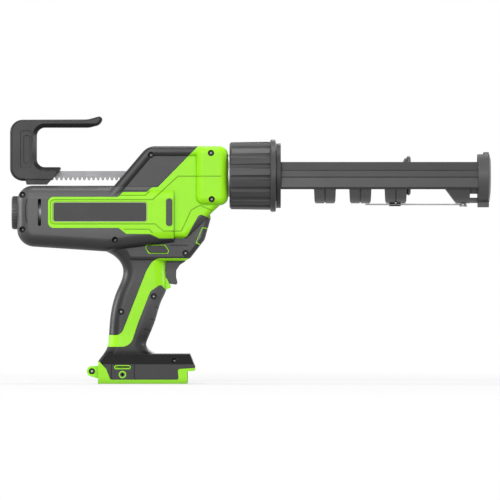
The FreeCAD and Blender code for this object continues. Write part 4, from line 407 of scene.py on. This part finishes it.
# Painted shade: black floors in the belt hook slots, where the slots lie in shade: rear, front, low and high
# ends, and how far the floor stands proud.
HOOK_SLOT = (-0.0275, -0.0125, 0.0176, 0.0197)
SLOT_LIFT = 0.00012
floors = bmesh.new()
for side, shell in ((-1, "right_housing"), (1, "left_housing")):
    rear, front, low, high = HOOK_SLOT
    middle = Vector(((rear + front) / 2, side * OUTSIDE, (low + high) / 2))
    hit = BVHTree.FromObject(nodes[shell], depsgraph).ray_cast(middle, Vector((0, -side, 0)))
    y = hit[0].y + side * SLOT_LIFT
    radius = (high - low) / 2
    loop = []
    for x, start in ((front - radius, -90), (rear + radius, 90)):
        for step in range(9):
            angle = math.radians(start + 22.5 * step)
            place = (x + radius * math.cos(angle), y, middle.z + radius * math.sin(angle))
            loop.append(floors.verts.new(place))
    floors.faces.new(loop if side < 0 else loop[::-1])
add_piece("hook_slot_floors", floors, painted_shadow_black, "housing")

# Lower web of the rear lug: a wedge that runs from the lug down to the back of the foot.
LUG_X = -0.0556
LUG_Z = 0.0132
LUG_RADIUS = 0.0056
LUG_INSIDE = LUG_RADIUS - 0.0009
FOOT_REAR = -0.0485
WEB_LOW = 0.0052
WEB_HALF = 0.0089
WEB_ROOT = 0.001
to_lug = math.hypot(LUG_X - FOOT_REAR, LUG_Z - WEB_LOW)
slope = math.atan2(LUG_Z - WEB_LOW, LUG_X - FOOT_REAR) + math.asin(LUG_RADIUS / to_lug)
web_outline = []
for length in (-WEB_ROOT, math.sqrt(to_lug ** 2 - LUG_RADIUS ** 2)):
    web_outline.append((FOOT_REAR + length * math.cos(slope), WEB_LOW + length * math.sin(slope)))
for turn in range(-105, -14, 15):
    angle = math.radians(turn)
    web_outline.append((LUG_X + LUG_INSIDE * math.cos(angle), LUG_Z + LUG_INSIDE * math.sin(angle)))
web_outline.append((FOOT_REAR + WEB_ROOT, web_outline[-1][1]))
web = bmesh.new()
right, left = [[web.verts.new((x, y, z)) for x, z in web_outline] for y in (-WEB_HALF, WEB_HALF)]
web.faces.new(right)
web.faces.new(left[::-1])
band(web, right, left)
add_piece("lug_web", web, finishes["green_shell"], "housing")

# Pale line round the bare label: rear, front, low and high ends of the label, and its face.
LABEL = (-0.0977, 0.0048, 0.1764, 0.198)
LABEL_CORNER = 0.003
LABEL_FACE = 0.03105
LINE_INNER = 0.0006
LINE_OUTER = 0.00005


def label_loop(mesh, y, inset):
    """Points round the label, set in from its outline."""
    rear, front, low, high = LABEL
    radius = LABEL_CORNER - inset
    loop = []
    for x, z, start in ((front, high, 0), (rear, high, 90), (rear, low, 180), (front, low, 270)):
        inward_x = -LABEL_CORNER if x == front else LABEL_CORNER
        inward_z = -LABEL_CORNER if z == high else LABEL_CORNER
        for step in range(7):
            angle = math.radians(start + 15 * step)
            loop.append(mesh.verts.new((x + inward_x + radius * math.cos(angle), y,
                                        z + inward_z + radius * math.sin(angle))))
    return loop


pale = moulded("pale_line", srgb(196, 226, 150), 0.5, 2600.0, 0.05, 0.05, 0.0002, edge_highlight=1.05)
lines = bmesh.new()
for side in (-1, 1):
    y = side * LABEL_FACE
    inner = label_loop(lines, y, LINE_INNER)
    band(lines, inner, label_loop(lines, y, LINE_OUTER))
add_piece("label_lines", lines, pale, "housing")

# Stage: white floor that runs out into a white backdrop, with soft light from the camera side and above.
AIM = Vector((0.1171, 0.0, 0.1457))


def shown(tree):
    """1 for rays that show the white background: from the camera, by gloss or through glass."""
    rays = tree.nodes.new("ShaderNodeLightPath")
    camera_or_gloss = tree.nodes.new("ShaderNodeMath")
    camera_or_gloss.operation = "MAXIMUM"
    tree.links.new(rays.outputs["Is Camera Ray"], camera_or_gloss.inputs[0])
    tree.links.new(rays.outputs["Is Glossy Ray"], camera_or_gloss.inputs[1])
    any_of_them = tree.nodes.new("ShaderNodeMath")
    any_of_them.operation = "MAXIMUM"
    tree.links.new(camera_or_gloss.outputs["Value"], any_of_them.inputs[0])
    tree.links.new(rays.outputs["Is Transmission Ray"], any_of_them.inputs[1])
    return any_of_them.outputs["Value"]


def diffuse(tree, grey):
    node = tree.nodes.new("ShaderNodeBsdfDiffuse")
    node.inputs["Color"].default_value = (grey, grey, grey, 1.0)
    return node.outputs["BSDF"]


def white_light(tree, kind, out_name, strength):
    node = tree.nodes.new(kind)
    node.inputs["Color"].default_value = WHITE
    node.inputs["Strength"].default_value = strength
    return node.outputs[out_name]


def mixed(tree, share, first, second):
    node = tree.nodes.new("ShaderNodeMixShader")
    tree.links.new(share, node.inputs["Fac"])
    tree.links.new(first, node.inputs[1])
    tree.links.new(second, node.inputs[2])
    return node.outputs["Shader"]


def white_floor(name, reach, level):
    """White floor that keeps a soft shadow round the object and runs out into the white backdrop."""
    mesh = bpy.data.meshes.new(name)
    corners = [(-reach, -reach, level), (reach, -reach, level), (reach, reach, level), (-reach, reach, level)]
    mesh.from_pydata(corners, [], [(0, 1, 2, 3)])
    piece = bpy.data.objects.new(name, mesh)
    bpy.context.scene.collection.objects.link(piece)
    material = bpy.data.materials.new(name)
    material.use_nodes = True
    tree = material.node_tree
    tree.nodes.clear()
    output = tree.nodes.new("ShaderNodeOutputMaterial")
    place = tree.nodes.new("ShaderNodeTexCoord")
    far = tree.nodes.new("ShaderNodeVectorMath")
    far.operation = "DISTANCE"
    far.inputs[1].default_value = (AIM.x, AIM.y, level)
    tree.links.new(place.outputs["Object"], far.inputs[0])
    fade = tree.nodes.new("ShaderNodeMapRange")
    fade.inputs["From Min"].default_value = 0.35
    fade.inputs["From Max"].default_value = 0.9
    fade.inputs["To Min"].default_value = 0.7
    fade.inputs["To Max"].default_value = 1.0
    tree.links.new(far.outputs["Value"], fade.inputs["Value"])
    backdrop = white_light(tree, "ShaderNodeEmission", "Emission", 1.0)
    seen = mixed(tree, fade.outputs["Result"], diffuse(tree, 0.9), backdrop)
    surface = mixed(tree, shown(tree), diffuse(tree, 0.3), seen)
    tree.links.new(surface, output.inputs["Surface"])
    mesh.materials.append(material)


white_floor("floor", 12.0, -0.0006)

world = bpy.data.worlds.new("studio")
bpy.context.scene.world = world
world.use_nodes = True
world_tree = world.node_tree
world_tree.nodes.clear()
world_output = world_tree.nodes.new("ShaderNodeOutputWorld")
ambient = white_light(world_tree, "ShaderNodeBackground", "Background", 0.1)
backdrop = white_light(world_tree, "ShaderNodeBackground", "Background", 1.0)
world_tree.links.new(mixed(world_tree, shown(world_tree), ambient, backdrop), world_output.inputs["Surface"])


def soft_light(name, place, width, power):
    lamp = bpy.data.lights.new(name, "AREA")
    lamp.shape = "DISK"
    lamp.size = width
    lamp.energy = power
    piece = bpy.data.objects.new(name, lamp)
    piece.location = place
    piece.rotation_euler = (AIM - Vector(place)).to_track_quat("-Z", "Y").to_euler()
    bpy.context.scene.collection.objects.link(piece)


soft_light("front", (-0.4, -3.0, 0.7), 1.3, 48.0)
soft_light("key", (-0.6, -1.9, 1.95), 0.9, 24.0)
soft_light("top", (0.1, 0.1, 2.2), 0.8, 17.0)
soft_light("back", (0.6, 2.8, 1.3), 1.0, 16.0)
soft_light("rear_edge", (-1.9, 0.15, 0.45), 0.6, 20.0)
soft_light("front_edge", (2.3, 0.15, 0.45), 0.6, 22.0)

# Camera far off to the side, so that the view is nearly straight. The picture is SHOWN_WIDTH wide at the
# near side of the tool.
DISTANCE = 9.0
NEAR_SIDE = 0.028
SHOWN_WIDTH = 0.545
SENSOR = 36.0
camera_data = bpy.data.cameras.new("camera")
camera_data.sensor_width = SENSOR
camera_data.lens = SENSOR * (DISTANCE - NEAR_SIDE) / SHOWN_WIDTH
camera_data.clip_end = 60.0
camera = bpy.data.objects.new("camera", camera_data)
camera.location = (AIM.x, -DISTANCE, AIM.z)
camera.rotation_euler = (math.radians(90), 0.0, 0.0)
bpy.context.scene.collection.objects.link(camera)
bpy.context.scene.camera = camera
bpy.context.scene.view_settings.view_transform = "Standard"
